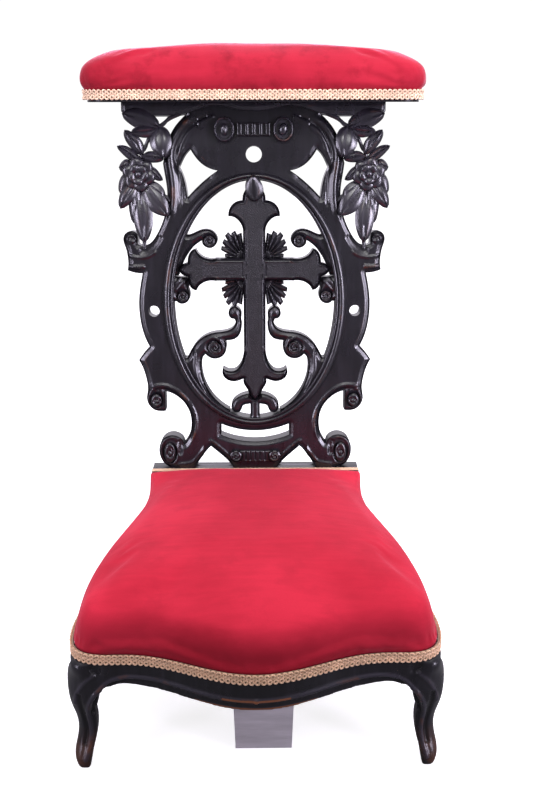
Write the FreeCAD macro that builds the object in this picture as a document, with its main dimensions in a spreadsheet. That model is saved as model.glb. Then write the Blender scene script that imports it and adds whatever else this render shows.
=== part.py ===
import FreeCAD, Part
import math
import os

import Sketcher

# A church chair with a kneeler: a low upholstered kneeling seat on short curved legs, a pierced
# and carved back leaning slightly to the rear, and a padded arm rest along the top of the back.
#
# Frame: millimetres, +Z up, +X to the right of someone who faces the front, +Y to the rear.
# The origin lies on the floor, under the centre of the whole chair's bounding box.
# "Seat depth" values run rearward from the plane of the two front feet.

Vector = FreeCAD.Vector
Rotation = FreeCAD.Rotation
Placement = FreeCAD.Placement

doc = FreeCAD.newDocument("church_chair")

# ---------------------------------------------------------------------------------------------
# Driving dimensions
# ---------------------------------------------------------------------------------------------

SIZES = [
    ("ledge_height", 231.5, "floor to the top of the rear rail, where the back stands"),
    ("frame_height", 172.0, "floor to the top of the front and side rails"),
    ("rebate_high", 14.0, "height of the step that the upholstery's edge lies in, under the rails' top"),
    ("rail_bottom", 117.0, "floor to the front rail's lowest edge"),
    ("rail_arch", 8.0, "rise of the front rail's lower edge beside the legs"),
    ("rail_bracket", 15.0, "how far the front rail's lower edge runs down at the legs"),
    ("rail_lip", 11.0, "height of the bead band along the front rail's lower edge"),
    ("rail_thick", 26.0, "front rail, front to back"),
    ("side_rail_thick", 24.0, "side rails, outside to inside"),
    ("side_rail_bottom", 120.0, "floor to the side rails' lower edge"),
    ("rebate_deep", 4.0, "step that the upholstery's edge lies in"),
    ("seat_half_front", 238.0, "half of the seat's width near the front"),
    ("seat_half_rear", 176.0, "half of the seat's width at the rear"),
    ("seat_deep", 439.0, "front feet to the rear rail's front face"),
    ("front_bow", 44.0, "how far the middle of the front rail swells forward"),
    ("bow_half", 165.0, "half of the length over which the front rail swells"),
    ("corner_round", 41.0, "radius of the seat's front corners"),
    ("waist_start", 60.0, "seat depth where the sides begin to draw in"),
    ("waist_end", 400.0, "seat depth where the sides are straight again"),
    ("knee_size", 44.0, "front leg's width at the knee"),
    ("ankle_size", 26.0, "front leg's width at the ankle"),
    ("rear_leg_width", 32.0, "rear leg, side to side"),
    ("rear_rail_deep", 41.0, "rear rail and rear leg top, front to back"),
    ("rear_rail_bottom", 120.0, "floor to the rear rail's lower edge"),
    ("rear_leg_sweep", 30.0, "how far the rear feet stand behind the rear rail"),
    ("rear_foot_size", 26.0, "rear foot, front to back"),
    ("tenon_long", 16.0, "how far each rail's tenon enters its leg"),
    ("tenon_thick", 9.0, "tenon thickness"),
    ("inner_rail_thick", 22.0, "straight rail behind the front rail, front to back"),
    ("inner_rail_high", 40.0, "height of the inner rail and the rear cleat"),
    ("cleat_thick", 20.0, "cleat on the rear rail, front to back"),
    ("block_leg", 48.0, "length of a corner block's sides"),
    ("block_high", 34.0, "height of a corner block"),
    ("support_width", 84.0, "centre support's width at the top"),
    ("support_foot", 76.0, "centre support's width at the floor"),
    ("support_thick", 15.0, "centre support's thickness"),
    ("support_shift", 9.5, "centre support's middle, right of the centre line"),
    ("back_rake", 5.0, "degrees that the back leans to the rear"),
    ("back_set", 10.0, "back's front face, behind the rear rail's front face"),
    ("back_high", 594.5, "ledge to the underside of the rest board"),
    ("back_half", 192.0, "half of the back's width across the side points"),
    ("board_thick", 28.0, "thickness of the back's boards"),
    ("seam_half", 88.0, "centre line to the glued seam of the side boards"),
    ("oval_half_wide", 132.0, "half width of the oval opening"),
    ("oval_half_high", 194.5, "half height of the oval opening"),
    ("oval_centre", 284.5, "ledge to the oval's centre, along the back"),
    ("moulding_wide", 19.0, "oval moulding's width at the sides"),
    ("moulding_crown", 12.5, "oval moulding's width at the top and bottom"),
    ("moulding_proud", 5.0, "oval moulding's height above the boards"),
    ("crest_hole", 12.75, "radius of the hole in the crest"),
    ("crest_hole_up", 519.0, "ledge to the crest hole, along the back"),
    ("side_hole", 9.0, "radius of the holes in the side boards"),
    ("side_hole_out", 164.5, "centre line to the side holes"),
    ("side_hole_up", 271.0, "ledge to the side holes, along the back"),
    ("slit_half", 57.5, "half length of the slit below the oval"),
    ("slit_high", 19.5, "height of the slit"),
    ("slit_gap", 22.0, "wood between the oval and the slit"),
    ("fret_thick", 24.0, "thickness of the scrolls inside the oval"),
    ("fret_set", 2.0, "scrolls' front face, behind the boards' front face"),
    ("cross_half", 18.0, "half width of the cross's upright and arm"),
    ("cross_thick", 28.0, "thickness of the cross"),
    ("cross_proud", 4.0, "cross's front face, before the boards' front face"),
    ("cross_bevel", 4.0, "bevel along the cross's front edges"),
    ("cross_centre", 338.5, "ledge to the middle of the cross's arm, along the back"),
    ("ray_length", 48.0, "length of the longest sun rays"),
    ("ray_thick", 12.0, "thickness of the sun rays"),
    ("ray_set", 6.0, "sun rays' front face, behind the boards' front face"),
    ("batten_half", 205.0, "half length of the batten under the rest"),
    ("batten_proud", 4.0, "batten's face before the boards' face"),
    ("rest_long", 506.0, "arm rest's length"),
    ("rest_wide", 160.0, "arm rest's width, front to back"),
    ("rest_set", 19.0, "arm rest's front edge, before the rear rail's front face"),
    ("rest_board_thick", 16.0, "thickness of the board inside the rest"),
    ("rest_pad_high", 63.0, "height of the rest's padding over its board"),
    ("rest_round", 34.0, "radius of the rest's corners"),
    ("rest_swell", 6.0, "how far the rest's padding swells past its braid"),
    ("seat_crown", 22.0, "seat cushion's crown above the ledge"),
    ("seat_swell", 3.5, "how far the seat cushion swells past the rails"),
    ("seat_lean", 12.0, "how far the cushion's sides draw in over the front corners"),
    ("cover_thick", 1.5, "velvet with its wadding"),
    ("braid_high", 15.0, "braid's width"),
    ("braid_thick", 2.5, "braid's thickness"),
    ("web_wide", 50.0, "width of a webbing strip"),
    ("web_thick", 1.5, "thickness of a webbing strip"),
    ("cloth_thick", 1.0, "thickness of the hessian over the webbing"),
    ("fit_gap", 0.3, "clearance where a soft piece lies against its neighbour"),
    ("dowel_radius", 4.0, "radius of the wooden dowels"),
    ("dowel_long", 40.0, "length of the wooden dowels"),
    ("screw_radius", 2.0, "shank radius of the rest's screws"),
    ("screw_sunk", 2.5, "depth of the screw heads below the rest board's top"),
]

sheet = doc.addObject("Spreadsheet::Sheet", "sizes")
for row, (alias, value, note) in enumerate(SIZES, start=1):
    sheet.set("A%d" % row, alias)
    sheet.set("B%d" % row, str(value))
    sheet.setAlias("B%d" % row, alias)
    sheet.set("C%d" % row, note)
doc.recompute()


def size(alias):
    """The value of one driving dimension."""
    return float(sheet.get(alias))


# ---------------------------------------------------------------------------------------------
# Values worked out from the driving dimensions
# ---------------------------------------------------------------------------------------------

SEAT_DEEP = size("seat_deep")
FRAME_TOP = size("frame_height")
REBATE = FRAME_TOP - size("rebate_high")
LEDGE = size("ledge_height")
FIT = size("fit_gap")
BOARD = size("board_thick")
RAKE = math.radians(size("back_rake"))

# The frontmost surface is the seat cushion at the middle of the bow, the rearmost is the rest's padding.
FRONTMOST = -size("front_bow") - size("seat_swell")
REST_FRONT = SEAT_DEEP - size("rest_set")
REST_REAR = REST_FRONT + size("rest_wide")
ORIGIN_DEPTH = (FRONTMOST + REST_REAR + size("rest_swell")) / 2.0

REST_UNDER = LEDGE + size("back_high")
REST_TOP = REST_UNDER + size("rest_board_thick")

SEAT_PLACE = Placement(Vector(0, -ORIGIN_DEPTH, 0), Rotation())
BACK_PLACE = Placement(
    Vector(0, SEAT_DEEP + size("back_set") - ORIGIN_DEPTH, LEDGE),
    Rotation(Vector(1, 0, 0), -size("back_rake")),
)

# The carved outlines below were laid out for these sizes, and stretch with the real ones.
LAYOUT_HALF = 192.0
LAYOUT_HIGH = 594.5
LAYOUT_OVAL = (132.0, 194.5, 284.5)

nodes = []


def keep(item, label):
    """Names a finished sub-part, so that it is checked and written at the end."""
    item.Label = label
    nodes.append(item)
    return item


# ---------------------------------------------------------------------------------------------
# Sketch and feature helpers
# ---------------------------------------------------------------------------------------------

def new_body(name, place=SEAT_PLACE):
    body = doc.addObject("PartDesign::Body", name)
    body.Placement = place
    return body


def new_sketch(body, name, role, offset=0.0):
    """A sketch on one of the body's own origin planes, moved along the plane's normal."""
    plane = [item for item in body.Origin.OriginFeatures if item.Role == role][0]
    sketch = body.newObject("Sketcher::SketchObject", name)
    sketch.AttachmentSupport = [(plane, "")]
    sketch.MapMode = "FlatFace"
    sketch.AttachmentOffset = Placement(Vector(0, 0, offset), Rotation())
    return sketch


def flat(point):
    return Vector(point[0], point[1], 0)


def curve_through(points):
    curve = Part.BSplineCurve()
    curve.interpolate([flat(point) for point in points])
    return curve


def trace(sketch, *runs):
    """Draws a closed outline: a run of two points is a line, a longer run a smooth curve."""
    for run in runs:
        if len(run) == 2:
            sketch.addGeometry(Part.LineSegment(flat(run[0]), flat(run[1])), False)
        else:
            sketch.addGeometry(curve_through(run), False)


def polygon(sketch, points):
    closed = list(points) + [points[0]]
    trace(sketch, *[closed[i:i + 2] for i in range(len(points))])


def circle(sketch, centre, radius):
    sketch.addGeometry(Part.Circle(flat(centre), Vector(0, 0, 1), radius), False)


def bound_box(sketch, left, right, low, high):
    """A rectangle whose four sides are held by expressions on the sheet."""
    x0, x1, y0, y1 = [float(sketch.evalExpression(text)) for text in (left, right, low, high)]
    corners = [(x0, y0), (x1, y0), (x1, y1), (x0, y1)]
    polygon(sketch, corners)
    for i in range(4):
        sketch.addConstraint(Sketcher.Constraint("Coincident", i, 2, (i + 1) % 4, 1))
    for i in (0, 2):
        sketch.addConstraint(Sketcher.Constraint("Horizontal", i))
    for i in (1, 3):
        sketch.addConstraint(Sketcher.Constraint("Vertical", i))
    holds = (("DistanceX", 0, x0, left), ("DistanceX", 1, x1, right),
             ("DistanceY", 0, y0, low), ("DistanceY", 2, y1, high))
    for kind, edge, value, text in holds:
        index = sketch.addConstraint(Sketcher.Constraint(kind, -1, 1, edge, 1, value))
        sketch.setExpression("Constraints[%d]" % index, text)


def pad(body, sketch, length, reverse=False, midplane=False):
    """Length is a number or an expression on the sheet."""
    feature = body.newObject("PartDesign::Pad", sketch.Name + "_pad")
    feature.Profile = sketch
    set_length(feature, length)
    feature.Reversed = reverse
    feature.Midplane = midplane
    return feature


def pocket(body, sketch, length, reverse=False, midplane=False):
    feature = body.newObject("PartDesign::Pocket", sketch.Name + "_pocket")
    feature.Profile = sketch
    set_length(feature, length)
    feature.Reversed = reverse
    feature.Midplane = midplane
    return feature


def set_length(feature, length):
    if isinstance(length, str):
        feature.setExpression("Length", length)
    else:
        feature.Length = length


def dress(body, kind, picked, amount):
    """A fillet or chamfer on the edges of the body's shape so far that a test picks."""
    doc.recompute()
    base = body.Tip
    names = ["Edge%d" % (i + 1) for i, edge in enumerate(base.Shape.Edges) if picked(edge)]
    feature = body.newObject("PartDesign::" + kind, body.Name + "_" + kind.lower())
    feature.Base = (base, names)
    if isinstance(amount, str):
        feature.setExpression("Radius" if kind == "Fillet" else "Size", amount)
    elif kind == "Fillet":
        feature.Radius = amount
    else:
        feature.Size = amount
    return feature


def mirrored(points):
    """The same run on the other side of the centre line, drawn in the opposite direction."""
    return [(-x, y) for x, y in reversed(points)]


def flipped(points):
    """The same run on the other side of the centre line, drawn in the same direction."""
    return [(-x, y) for x, y in points]


def plain_feature(label, shape, place=SEAT_PLACE):
    feature = doc.addObject("Part::Feature", label)
    feature.Shape = shape
    feature.Placement = place
    return keep(feature, label)


SIDES = ((-1, "left"), (1, "right"))


# ---------------------------------------------------------------------------------------------
# The seat's plan
# ---------------------------------------------------------------------------------------------

def swell(share):
    """A smooth step from 1 at share 0 to 0 at share 1."""
    return 0.5 * (1 + math.cos(math.pi * min(max(share, 0.0), 1.0)))


def front_line(x, inset=0.0):
    """Seat depth of the front rail's face at x: serpentine, swelling forward in the middle."""
    return inset - size("front_bow") * swell(abs(x) / size("bow_half"))


def side_line(y, inset=0.0):
    """Half width of the seat at a seat depth: full at the front, drawn in towards the rear."""
    share = (y - size("waist_start")) / (size("waist_end") - size("waist_start"))
    spare = size("seat_half_front") - size("seat_half_rear")
    return size("seat_half_rear") + spare * swell(share) - inset


def half_plan(inset=0.0):
    """Points of the seat's outline from the middle of the front, round the corner, to the rear."""
    reach = size("corner_round") - inset
    centre = (size("seat_half_front") - size("corner_round"), size("corner_round"))
    points = [(size("bow_half") * i / 4.0, front_line(size("bow_half") * i / 4.0, inset)) for i in range(5)]
    for degrees in (-90, -60, -30, 0):
        angle = math.radians(degrees)
        points.append((centre[0] + reach * math.cos(angle), centre[1] + reach * math.sin(angle)))
    steps = 7
    start = size("waist_start")
    for i in range(1, steps + 1):
        y = start + (SEAT_DEEP - start) * i / steps
        points.append((side_line(y, inset), y))
    return points


def whole_plan(inset=0.0):
    """The outline from the left rear corner, round the front, to the right rear corner."""
    half = half_plan(inset)
    return mirrored(half)[:-1] + half


# ---------------------------------------------------------------------------------------------
# Seat frame
# ---------------------------------------------------------------------------------------------

LEG_OUT = size("seat_half_front") + 2.0
LEG_IN = LEG_OUT - size("knee_size")


def front_rail():
    """A serpentine rail with an arched lower edge, a bead band along it and a tenon at each end."""
    body = new_body("front_rail")
    steps = 6
    xs = [LEG_IN * (i / steps - 1.0) for i in range(2 * steps + 1)]
    rail_low = size("rail_bottom") - size("rail_bracket")

    def strip(sketch, near, far):
        front = [(x, front_line(x, near)) for x in xs]
        rear = [(x, front_line(x, far)) for x in reversed(xs)]
        trace(sketch, front, [front[-1], rear[0]], rear, [rear[-1], front[0]])

    def lower_edge(rise):
        """The arched lower edge: low in the middle, higher towards the legs, then a bracket down."""
        arched = [(0, 0), (0.32, 0.06), (0.62, 0.55), (0.8, 0.95), (0.88, 1.0)]
        points = [(LEG_IN * a, size("rail_bottom") + size("rail_arch") * b + rise) for a, b in arched]
        for a, b in ((0.94, 0.18), (0.98, 0.6), (1.0, 1.0)):
            drop = (size("rail_arch") + size("rail_bracket")) * b
            points.append((LEG_IN * a, size("rail_bottom") + size("rail_arch") + rise - drop))
        return flipped(points)[::-1][:-1] + points

    def cut_below(name, rise):
        sketch = new_sketch(body, name, "XZ_Plane")
        edge = lower_edge(rise)
        floor = rail_low - 10.0
        right = (edge[-1][0] + 2.0, edge[-1][1])
        left = (edge[0][0] - 2.0, edge[0][1])
        trace(sketch, edge, [edge[-1], right], [right, (right[0], floor)],
              [(right[0], floor), (left[0], floor)], [(left[0], floor), left], [left, edge[0]])
        pocket(body, sketch, 4 * size("seat_half_front"), midplane=True)

    face = new_sketch(body, "front_rail_face", "XY_Plane", rail_low)
    strip(face, 0.0, size("rebate_deep") + 1.0)
    pad(body, face, "sizes.frame_height - sizes.rebate_high - sizes.rail_bottom + sizes.rail_bracket")
    cut_below("front_rail_bead", size("rail_lip"))
    core = new_sketch(body, "front_rail_core", "XY_Plane", rail_low)
    strip(core, size("rebate_deep"), size("rail_thick"))
    pad(body, core, "sizes.frame_height - sizes.rail_bottom + sizes.rail_bracket")
    cut_below("front_rail_arch", 0.0)
    tenons = new_sketch(body, "front_rail_tenons", "XZ_Plane", -tenon_middle())
    for side in (-1, 1):
        polygon(tenons, tenon_face(side * LEG_IN, side * (LEG_IN + size("tenon_long"))))
    pad(body, tenons, "sizes.tenon_thick", midplane=True)
    return keep(body, "front_rail")


def tenon_middle():
    """Seat depth of the middle of the front rail's tenons."""
    return size("rebate_deep") + (size("rail_thick") - size("rebate_deep")) / 2.0


TENON_LOW = size("side_rail_bottom") + 10.0
TENON_HIGH = size("frame_height") - 10.0


def tenon_face(start, end):
    return [(start, TENON_LOW), (end, TENON_LOW), (end, TENON_HIGH), (start, TENON_HIGH)]


def side_rail(side, word):
    """A rail curved in plan, with a rebate for the upholstery and a tenon at each end."""
    body = new_body("side_rail_" + word)
    start = size("knee_size")
    steps = 8
    ys = [start + (SEAT_DEEP - start) * i / steps for i in range(steps + 1)]

    def strip(name, low, near, far):
        sketch = new_sketch(body, name + word, "XY_Plane", low)
        outer = [(side * side_line(y, near), y) for y in ys]
        inner = [(side * side_line(y, far), y) for y in reversed(ys)]
        trace(sketch, outer, [outer[-1], inner[0]], inner, [inner[-1], outer[0]])
        return sketch

    low = size("side_rail_bottom")
    face = strip("side_rail_face_", low, 0.0, size("rebate_deep") + 1.0)
    pad(body, face, "sizes.frame_height - sizes.rebate_high - sizes.side_rail_bottom")
    core = strip("side_rail_core_", low, size("rebate_deep"), size("side_rail_thick"))
    pad(body, core, "sizes.frame_height - sizes.side_rail_bottom")
    for name, y0, y1 in (("front", start - size("tenon_long"), start + 1.0),
                         ("rear", SEAT_DEEP - 1.0, SEAT_DEEP + size("tenon_long"))):
        middle = side_tenon_out(y0 if name == "front" else y1)
        tenon = new_sketch(body, "side_tenon_%s_%s" % (name, word), "YZ_Plane", side * middle)
        polygon(tenon, tenon_face(y0, y1))
        pad(body, tenon, "sizes.tenon_thick", midplane=True)
    return keep(body, "side_rail_" + word)


def side_tenon_out(y):
    """Half width at the middle of a side rail's tenon: near the front or the rear end."""
    near = size("knee_size") if y < SEAT_DEEP / 2.0 else SEAT_DEEP
    core = size("side_rail_thick") - size("rebate_deep")
    return side_line(near, size("rebate_deep") + core / 2.0)


# The front leg's level sections from the rebate down: height as a share of the rebate's height,
# the middle's shift outwards and forwards, width as a share of the knee or, from the fourth
# on, of the ankle, and the outer corner's radius as a share of the width
LEG_STATIONS = (
    (1.0, -0.5, -0.5, 1.02, 0.76), (0.86, 1.0, 0.0, 1.09, 0.7), (0.72, 2.2, 0.0, 1.13, 0.66),
    (0.56, 7.0, 3.5, 1.19, 0.62), (0.45, 5.0, -0.5, 1.08, 0.62), (0.32, 3.5, -1.0, 1.0, 0.62),
    (0.2, 6.0, 4.0, 0.97, 0.62), (0.11, 9.0, 10.0, 0.93, 0.6), (0.04, 9.0, 14.5, 0.78, 0.58),
    (0.0, 8.2, 16.0, 0.62, 0.55),
)
KNEE_STATIONS = 3


def leg_section(sketch, side, middle, width, outer_round, inner_round):
    """A rounded square: its outer front corner has its own radius."""
    half = width / 2.0
    cx, cy = middle
    corners = [(cx + half, cy - half, outer_round), (cx + half, cy + half, inner_round),
               (cx - half, cy + half, inner_round), (cx - half, cy - half, inner_round)]
    starts = []
    ends = []
    slant = math.sqrt(0.5)
    for index, (x, y, radius) in enumerate(corners):
        sx = 1 if x > cx else -1
        sy = 1 if y > cy else -1
        centre = (x - sx * radius, y - sy * radius)
        level = (centre[0], centre[1] + sy * radius)
        upright = (centre[0] + sx * radius, centre[1])
        mid = (centre[0] + sx * radius * slant, centre[1] + sy * radius * slant)
        first, last = (level, upright) if index % 2 == 0 else (upright, level)
        starts.append(first)
        ends.append(last)
        arc = [(side * first[0], first[1]), (side * mid[0], mid[1]), (side * last[0], last[1])]
        sketch.addGeometry(Part.Arc(*[flat(point) for point in arc]), False)
    for index in range(4):
        a = ends[index]
        b = starts[(index + 1) % 4]
        sketch.addGeometry(Part.LineSegment(flat((side * a[0], a[1])), flat((side * b[0], b[1]))), False)


def front_leg(side, word):
    """A short cabriole leg: full knee, slim ankle set back, foot turned out to the corner."""
    body = new_body("front_leg_" + word)
    knee = size("knee_size")
    ankle = size("ankle_size")
    knee_mid = LEG_OUT - knee / 2.0
    deep = knee / 2.0
    sections = []
    for index, (share, out, forward, width, rounding) in enumerate(LEG_STATIONS):
        sketch = new_sketch(body, "leg_%s_%d" % (word, index), "XY_Plane", REBATE * share)
        wide = width * (knee if index < KNEE_STATIONS else ankle)
        leg_section(sketch, side, (knee_mid + out, deep - forward), wide, rounding * wide, 0.22 * wide)
        sections.append(sketch)
    loft = body.newObject("PartDesign::AdditiveLoft", "leg_loft_" + word)
    loft.Profile = sections[0]
    loft.Sections = sections[1:]
    loft.Ruled = False
    # flat shoulders where the front rail and the side rail butt against the knee
    low = size("rail_bottom") - size("rail_bracket")
    high = REBATE + 1.0
    inner = new_sketch(body, "leg_shoulder_front_" + word, "XZ_Plane")
    near, far = side * LEG_IN, side * (LEG_IN - knee)
    polygon(inner, [(near, low), (far, low), (far, high), (near, high)])
    pocket(body, inner, 4 * knee, midplane=True)
    behind = new_sketch(body, "leg_shoulder_side_" + word, "YZ_Plane")
    low = size("side_rail_bottom") - 1.0
    polygon(behind, [(knee, low), (2 * knee, low), (2 * knee, high), (knee, high)])
    pocket(body, behind, 4 * size("seat_half_front"), midplane=True)
    # the post above the rebate that the cover is nailed round
    post = new_sketch(body, "leg_post_" + word, "XY_Plane", REBATE)
    inset = size("rebate_deep")
    trim = size("corner_round") - inset
    x0, x1 = LEG_IN, size("seat_half_front") - inset
    y0, y1 = inset, knee
    short = trim * (1 - math.sqrt(0.5))
    corner = [(x1 - trim, y0), (x1 - short, y0 + short), (x1, y0 + trim)]
    runs = [[(x0, y0), corner[0]], corner, [corner[2], (x1, y1)], [(x1, y1), (x0, y1)],
            [(x0, y1), (x0, y0)]]
    trace(post, *[[(side * x, y) for x, y in run] for run in runs])
    pad(body, post, "sizes.rebate_high")
    # mortises for the front rail's and the side rail's tenons
    mortise = new_sketch(body, "leg_mortise_front_" + word, "XZ_Plane", -tenon_middle())
    polygon(mortise, tenon_face(side * (LEG_IN - 1.0), side * (LEG_IN + size("tenon_long"))))
    pocket(body, mortise, "sizes.tenon_thick", midplane=True)
    beside = new_sketch(body, "leg_mortise_side_" + word, "YZ_Plane", side * side_tenon_out(0.0))
    polygon(beside, tenon_face(knee - size("tenon_long"), knee + 1.0))
    pocket(body, beside, "sizes.tenon_thick", midplane=True)
    return keep(body, "front_leg_" + word)


REAR_LEG_IN = size("seat_half_rear") - size("rear_leg_width")


def rear_leg(side, word):
    """A sabre leg: upright beside the rear rail, sweeping to the rear below it."""
    body = new_body("rear_leg_" + word)
    near = SEAT_DEEP
    far = SEAT_DEEP + size("rear_rail_deep")
    sweep = size("rear_leg_sweep")
    foot = size("rear_foot_size")
    bend = size("side_rail_bottom")
    profile = new_sketch(body, "rear_leg_profile_" + word, "YZ_Plane", side * REAR_LEG_IN)
    front = [(near, bend), (near + 0.18 * sweep, 0.66 * bend), (near + 0.62 * sweep, 0.3 * bend),
             (far + sweep - foot, 0)]
    rear = [(far + sweep, 0), (far + 0.62 * sweep, 0.32 * bend), (far + 0.2 * sweep, 0.68 * bend),
            (far, bend)]
    trace(profile, [(near, LEDGE), (near, bend)], front, [front[-1], rear[0]], rear,
          [(far, bend), (far, LEDGE)], [(far, LEDGE), (near, LEDGE)])
    pad(body, profile, "sizes.rear_leg_width", reverse=side < 0)
    mortise = new_sketch(body, "rear_leg_mortise_" + word, "YZ_Plane", side * side_tenon_out(SEAT_DEEP))
    polygon(mortise, tenon_face(near - 1.0, near + size("tenon_long")))
    pocket(body, mortise, "sizes.tenon_thick", midplane=True)
    inner = new_sketch(body, "rear_leg_slot_" + word, "XZ_Plane", -rear_tenon_middle())
    polygon(inner, rear_tenon_face(side * (REAR_LEG_IN - 1.0), side * (REAR_LEG_IN + 10.0)))
    pocket(body, inner, "sizes.tenon_thick", midplane=True)
    return keep(body, "rear_leg_" + word)


def rear_tenon_middle():
    return SEAT_DEEP + size("rear_rail_deep") - 10.0


def rear_tenon_face(start, end):
    low = size("rear_rail_bottom") + 10.0
    high = LEDGE - 12.0
    return [(start, low), (end, low), (end, high), (start, high)]


# ---------------------------------------------------------------------------------------------
# Inside the seat frame
# ---------------------------------------------------------------------------------------------

INNER_RAIL_FRONT = size("rail_thick")
INNER_RAIL_REAR = INNER_RAIL_FRONT + size("inner_rail_thick")


def inner_rail():
    """A straight rail between the front legs, behind the serpentine one, that carries the webbing."""
    body = new_body("inner_rail")
    face = new_sketch(body, "inner_rail_face", "XZ_Plane", -INNER_RAIL_FRONT)
    half = "sizes.seat_half_front + 2 - sizes.knee_size"
    bound_box(face, "-(%s)" % half, half, "sizes.frame_height - sizes.inner_rail_high", "sizes.frame_height")
    pad(body, face, "sizes.inner_rail_thick", reverse=True)
    return keep(body, "inner_rail")


def centre_support():
    """A tapered board on edge under the inner rail, standing on the floor."""
    body = new_body("centre_support")
    face = new_sketch(body, "centre_support_face", "XZ_Plane", size("support_thick") - INNER_RAIL_REAR)
    middle = size("support_shift")
    top = FRAME_TOP - size("inner_rail_high")
    wide = size("support_width") / 2.0
    narrow = size("support_foot") / 2.0
    polygon(face, [(middle - narrow, 0), (middle + narrow, 0), (middle + wide, top), (middle - wide, top)])
    pad(body, face, "sizes.support_thick", reverse=True)
    return keep(body, "centre_support")


def rear_cleat():
    """A square strip along the rear rail's front face, level with the rails, for the webbing."""
    body = new_body("rear_cleat")
    face = new_sketch(body, "rear_cleat_face", "XZ_Plane", -(SEAT_DEEP - size("cleat_thick")))
    half = "sizes.seat_half_rear - sizes.side_rail_thick - %s" % (2 * FIT)
    bound_box(face, "-(%s)" % half, half, "sizes.frame_height - sizes.cleat_thick", "sizes.frame_height")
    pad(body, face, "sizes.cleat_thick", reverse=True)
    return keep(body, "rear_cleat")


def corner_blocks():
    """Four triangular glue blocks in the corners of the frame, under the webbing."""
    leg = size("block_leg")
    low = FRAME_TOP - size("cleat_thick") - size("block_high")
    blocks = []
    for side, word in SIDES:
        front_y = INNER_RAIL_REAR
        front_x = side_line(front_y + leg, size("side_rail_thick")) - FIT
        rear_x = side_line(SEAT_DEEP - leg, size("side_rail_thick")) - 2 * FIT
        for place, x, y, turn in (("front", front_x, front_y, 1), ("rear", rear_x, SEAT_DEEP, -1)):
            body = new_body("corner_block_%s_%s" % (place, word))
            plan = new_sketch(body, "block_plan_%s_%s" % (place, word), "XY_Plane", low)
            polygon(plan, [(side * x, y), (side * (x - leg), y), (side * x, y + turn * leg)])
            pad(body, plan, "sizes.block_high")
            blocks.append(body)
    group = doc.addObject("Part::Compound", "corner_blocks")
    group.Links = blocks
    return keep(group, "corner_blocks")


def webbing():
    """Strips of webbing over the frame: four from front to rear, and four across on top of them."""
    wide = size("web_wide")
    thick = size("web_thick")
    strips = []
    inner = size("seat_half_rear") - size("side_rail_thick") - wide / 2.0 - 4.0
    for i in range(4):
        x = inner * (2.0 * i / 3.0 - 1.0)
        strips.append(Part.makeBox(wide, SEAT_DEEP - FIT - INNER_RAIL_FRONT, thick,
                                   Vector(x - wide / 2.0, INNER_RAIL_FRONT, FRAME_TOP)))
    first = INNER_RAIL_REAR + 14.0
    last = SEAT_DEEP - size("cleat_thick") - wide - 10.0
    for i in range(4):
        y = first + (last - first) * i / 3.0
        reach = min(side_line(y, 9.0), side_line(y + wide, 9.0))
        strips.append(Part.makeBox(2 * reach, wide, thick, Vector(-reach, y, FRAME_TOP + thick)))
    return plain_feature("seat_webbing", Part.makeCompound(strips))


def plan_face(inset, rear_y, z):
    """The seat's plan drawn in by an inset, as a flat face at a height."""
    points = [(x, y) for x, y in whole_plan(inset) if y < rear_y - 1.0]
    end = side_line(rear_y, inset)
    points = [(-end, rear_y)] + points + [(end, rear_y)]
    curve = Part.BSplineCurve()
    curve.interpolate([Vector(x, y, z) for x, y in points])
    close = Part.LineSegment(Vector(end, rear_y, z), Vector(-end, rear_y, z))
    return Part.Face(Part.Wire([curve.toShape(), close.toShape()]))


def hessian():
    """One cloth over the webbing, under the stuffing."""
    z = FRAME_TOP + 2 * size("web_thick")
    face = plan_face(size("rebate_deep") + 4.0, SEAT_DEEP - FIT, z)
    return plain_feature("seat_hessian", face.extrude(Vector(0, 0, size("cloth_thick"))))


# ---------------------------------------------------------------------------------------------
# Seat upholstery
# ---------------------------------------------------------------------------------------------

CROWN_TOP = LEDGE + size("seat_crown")
EDGE_INSET = 14.0


def seat_section(z, inset, lean):
    """One level section of the seat cushion, drawn in from the rails' plan by an inset.

    The lean draws the sides in further over the front corners, and not at all at the rear.
    """
    edge = min(inset, EDGE_INSET)
    shrink = 1.0 - (inset - edge) / size("seat_half_rear")
    middle = SEAT_DEEP / 2.0
    points = []
    for x, y in whole_plan(edge):
        narrow = 1.0 - lean * min(1.0 - y / SEAT_DEEP, 1.0) / size("seat_half_front")
        points.append(Vector(x * shrink * narrow, middle + (y - middle) * shrink, z))
    return points


def seat_dome(low, skin, edge):
    """A cushion from a height up: upright at the rails, swelling over them, rolled in to a crown."""
    rise = CROWN_TOP - skin
    full = LEDGE - FRAME_TOP
    swell_out = -size("seat_swell")
    crown = rise - LEDGE
    # height, inset from the rails' plan, and how much of the sides' lean is reached
    shape = [(low, edge, 0.0), (FRAME_TOP + 0.04 * full, edge, 0.0),
             (FRAME_TOP + 0.18 * full, 0.5 * swell_out, 0.3), (FRAME_TOP + 0.38 * full, swell_out, 0.62),
             (FRAME_TOP + 0.6 * full, 0.8 * swell_out, 0.85), (FRAME_TOP + 0.8 * full, 1.5, 1.0),
             (LEDGE - 3.0, 8.0, 1.0), (LEDGE + 0.12 * crown, 18.0, 1.0), (LEDGE + 0.42 * crown, 40.0, 1.0),
             (LEDGE + 0.76 * crown, 80.0, 1.0), (rise, 130.0, 1.0)]
    wires = []
    for z, inset, leaning in shape:
        points = seat_section(z, inset + skin, leaning * size("seat_lean"))
        rear = SEAT_DEEP - FIT - skin - max(0.0, 0.6 * (inset - 8.0))
        points[0] = Vector(points[0].x, rear, z)
        points[-1] = Vector(points[-1].x, rear, z)
        curve = Part.BSplineCurve()
        curve.interpolate(points)
        wires.append(Part.Wire([curve.toShape(), Part.LineSegment(points[-1], points[0]).toShape()]))
    return Part.makeLoft(wires, True, True)


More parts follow.
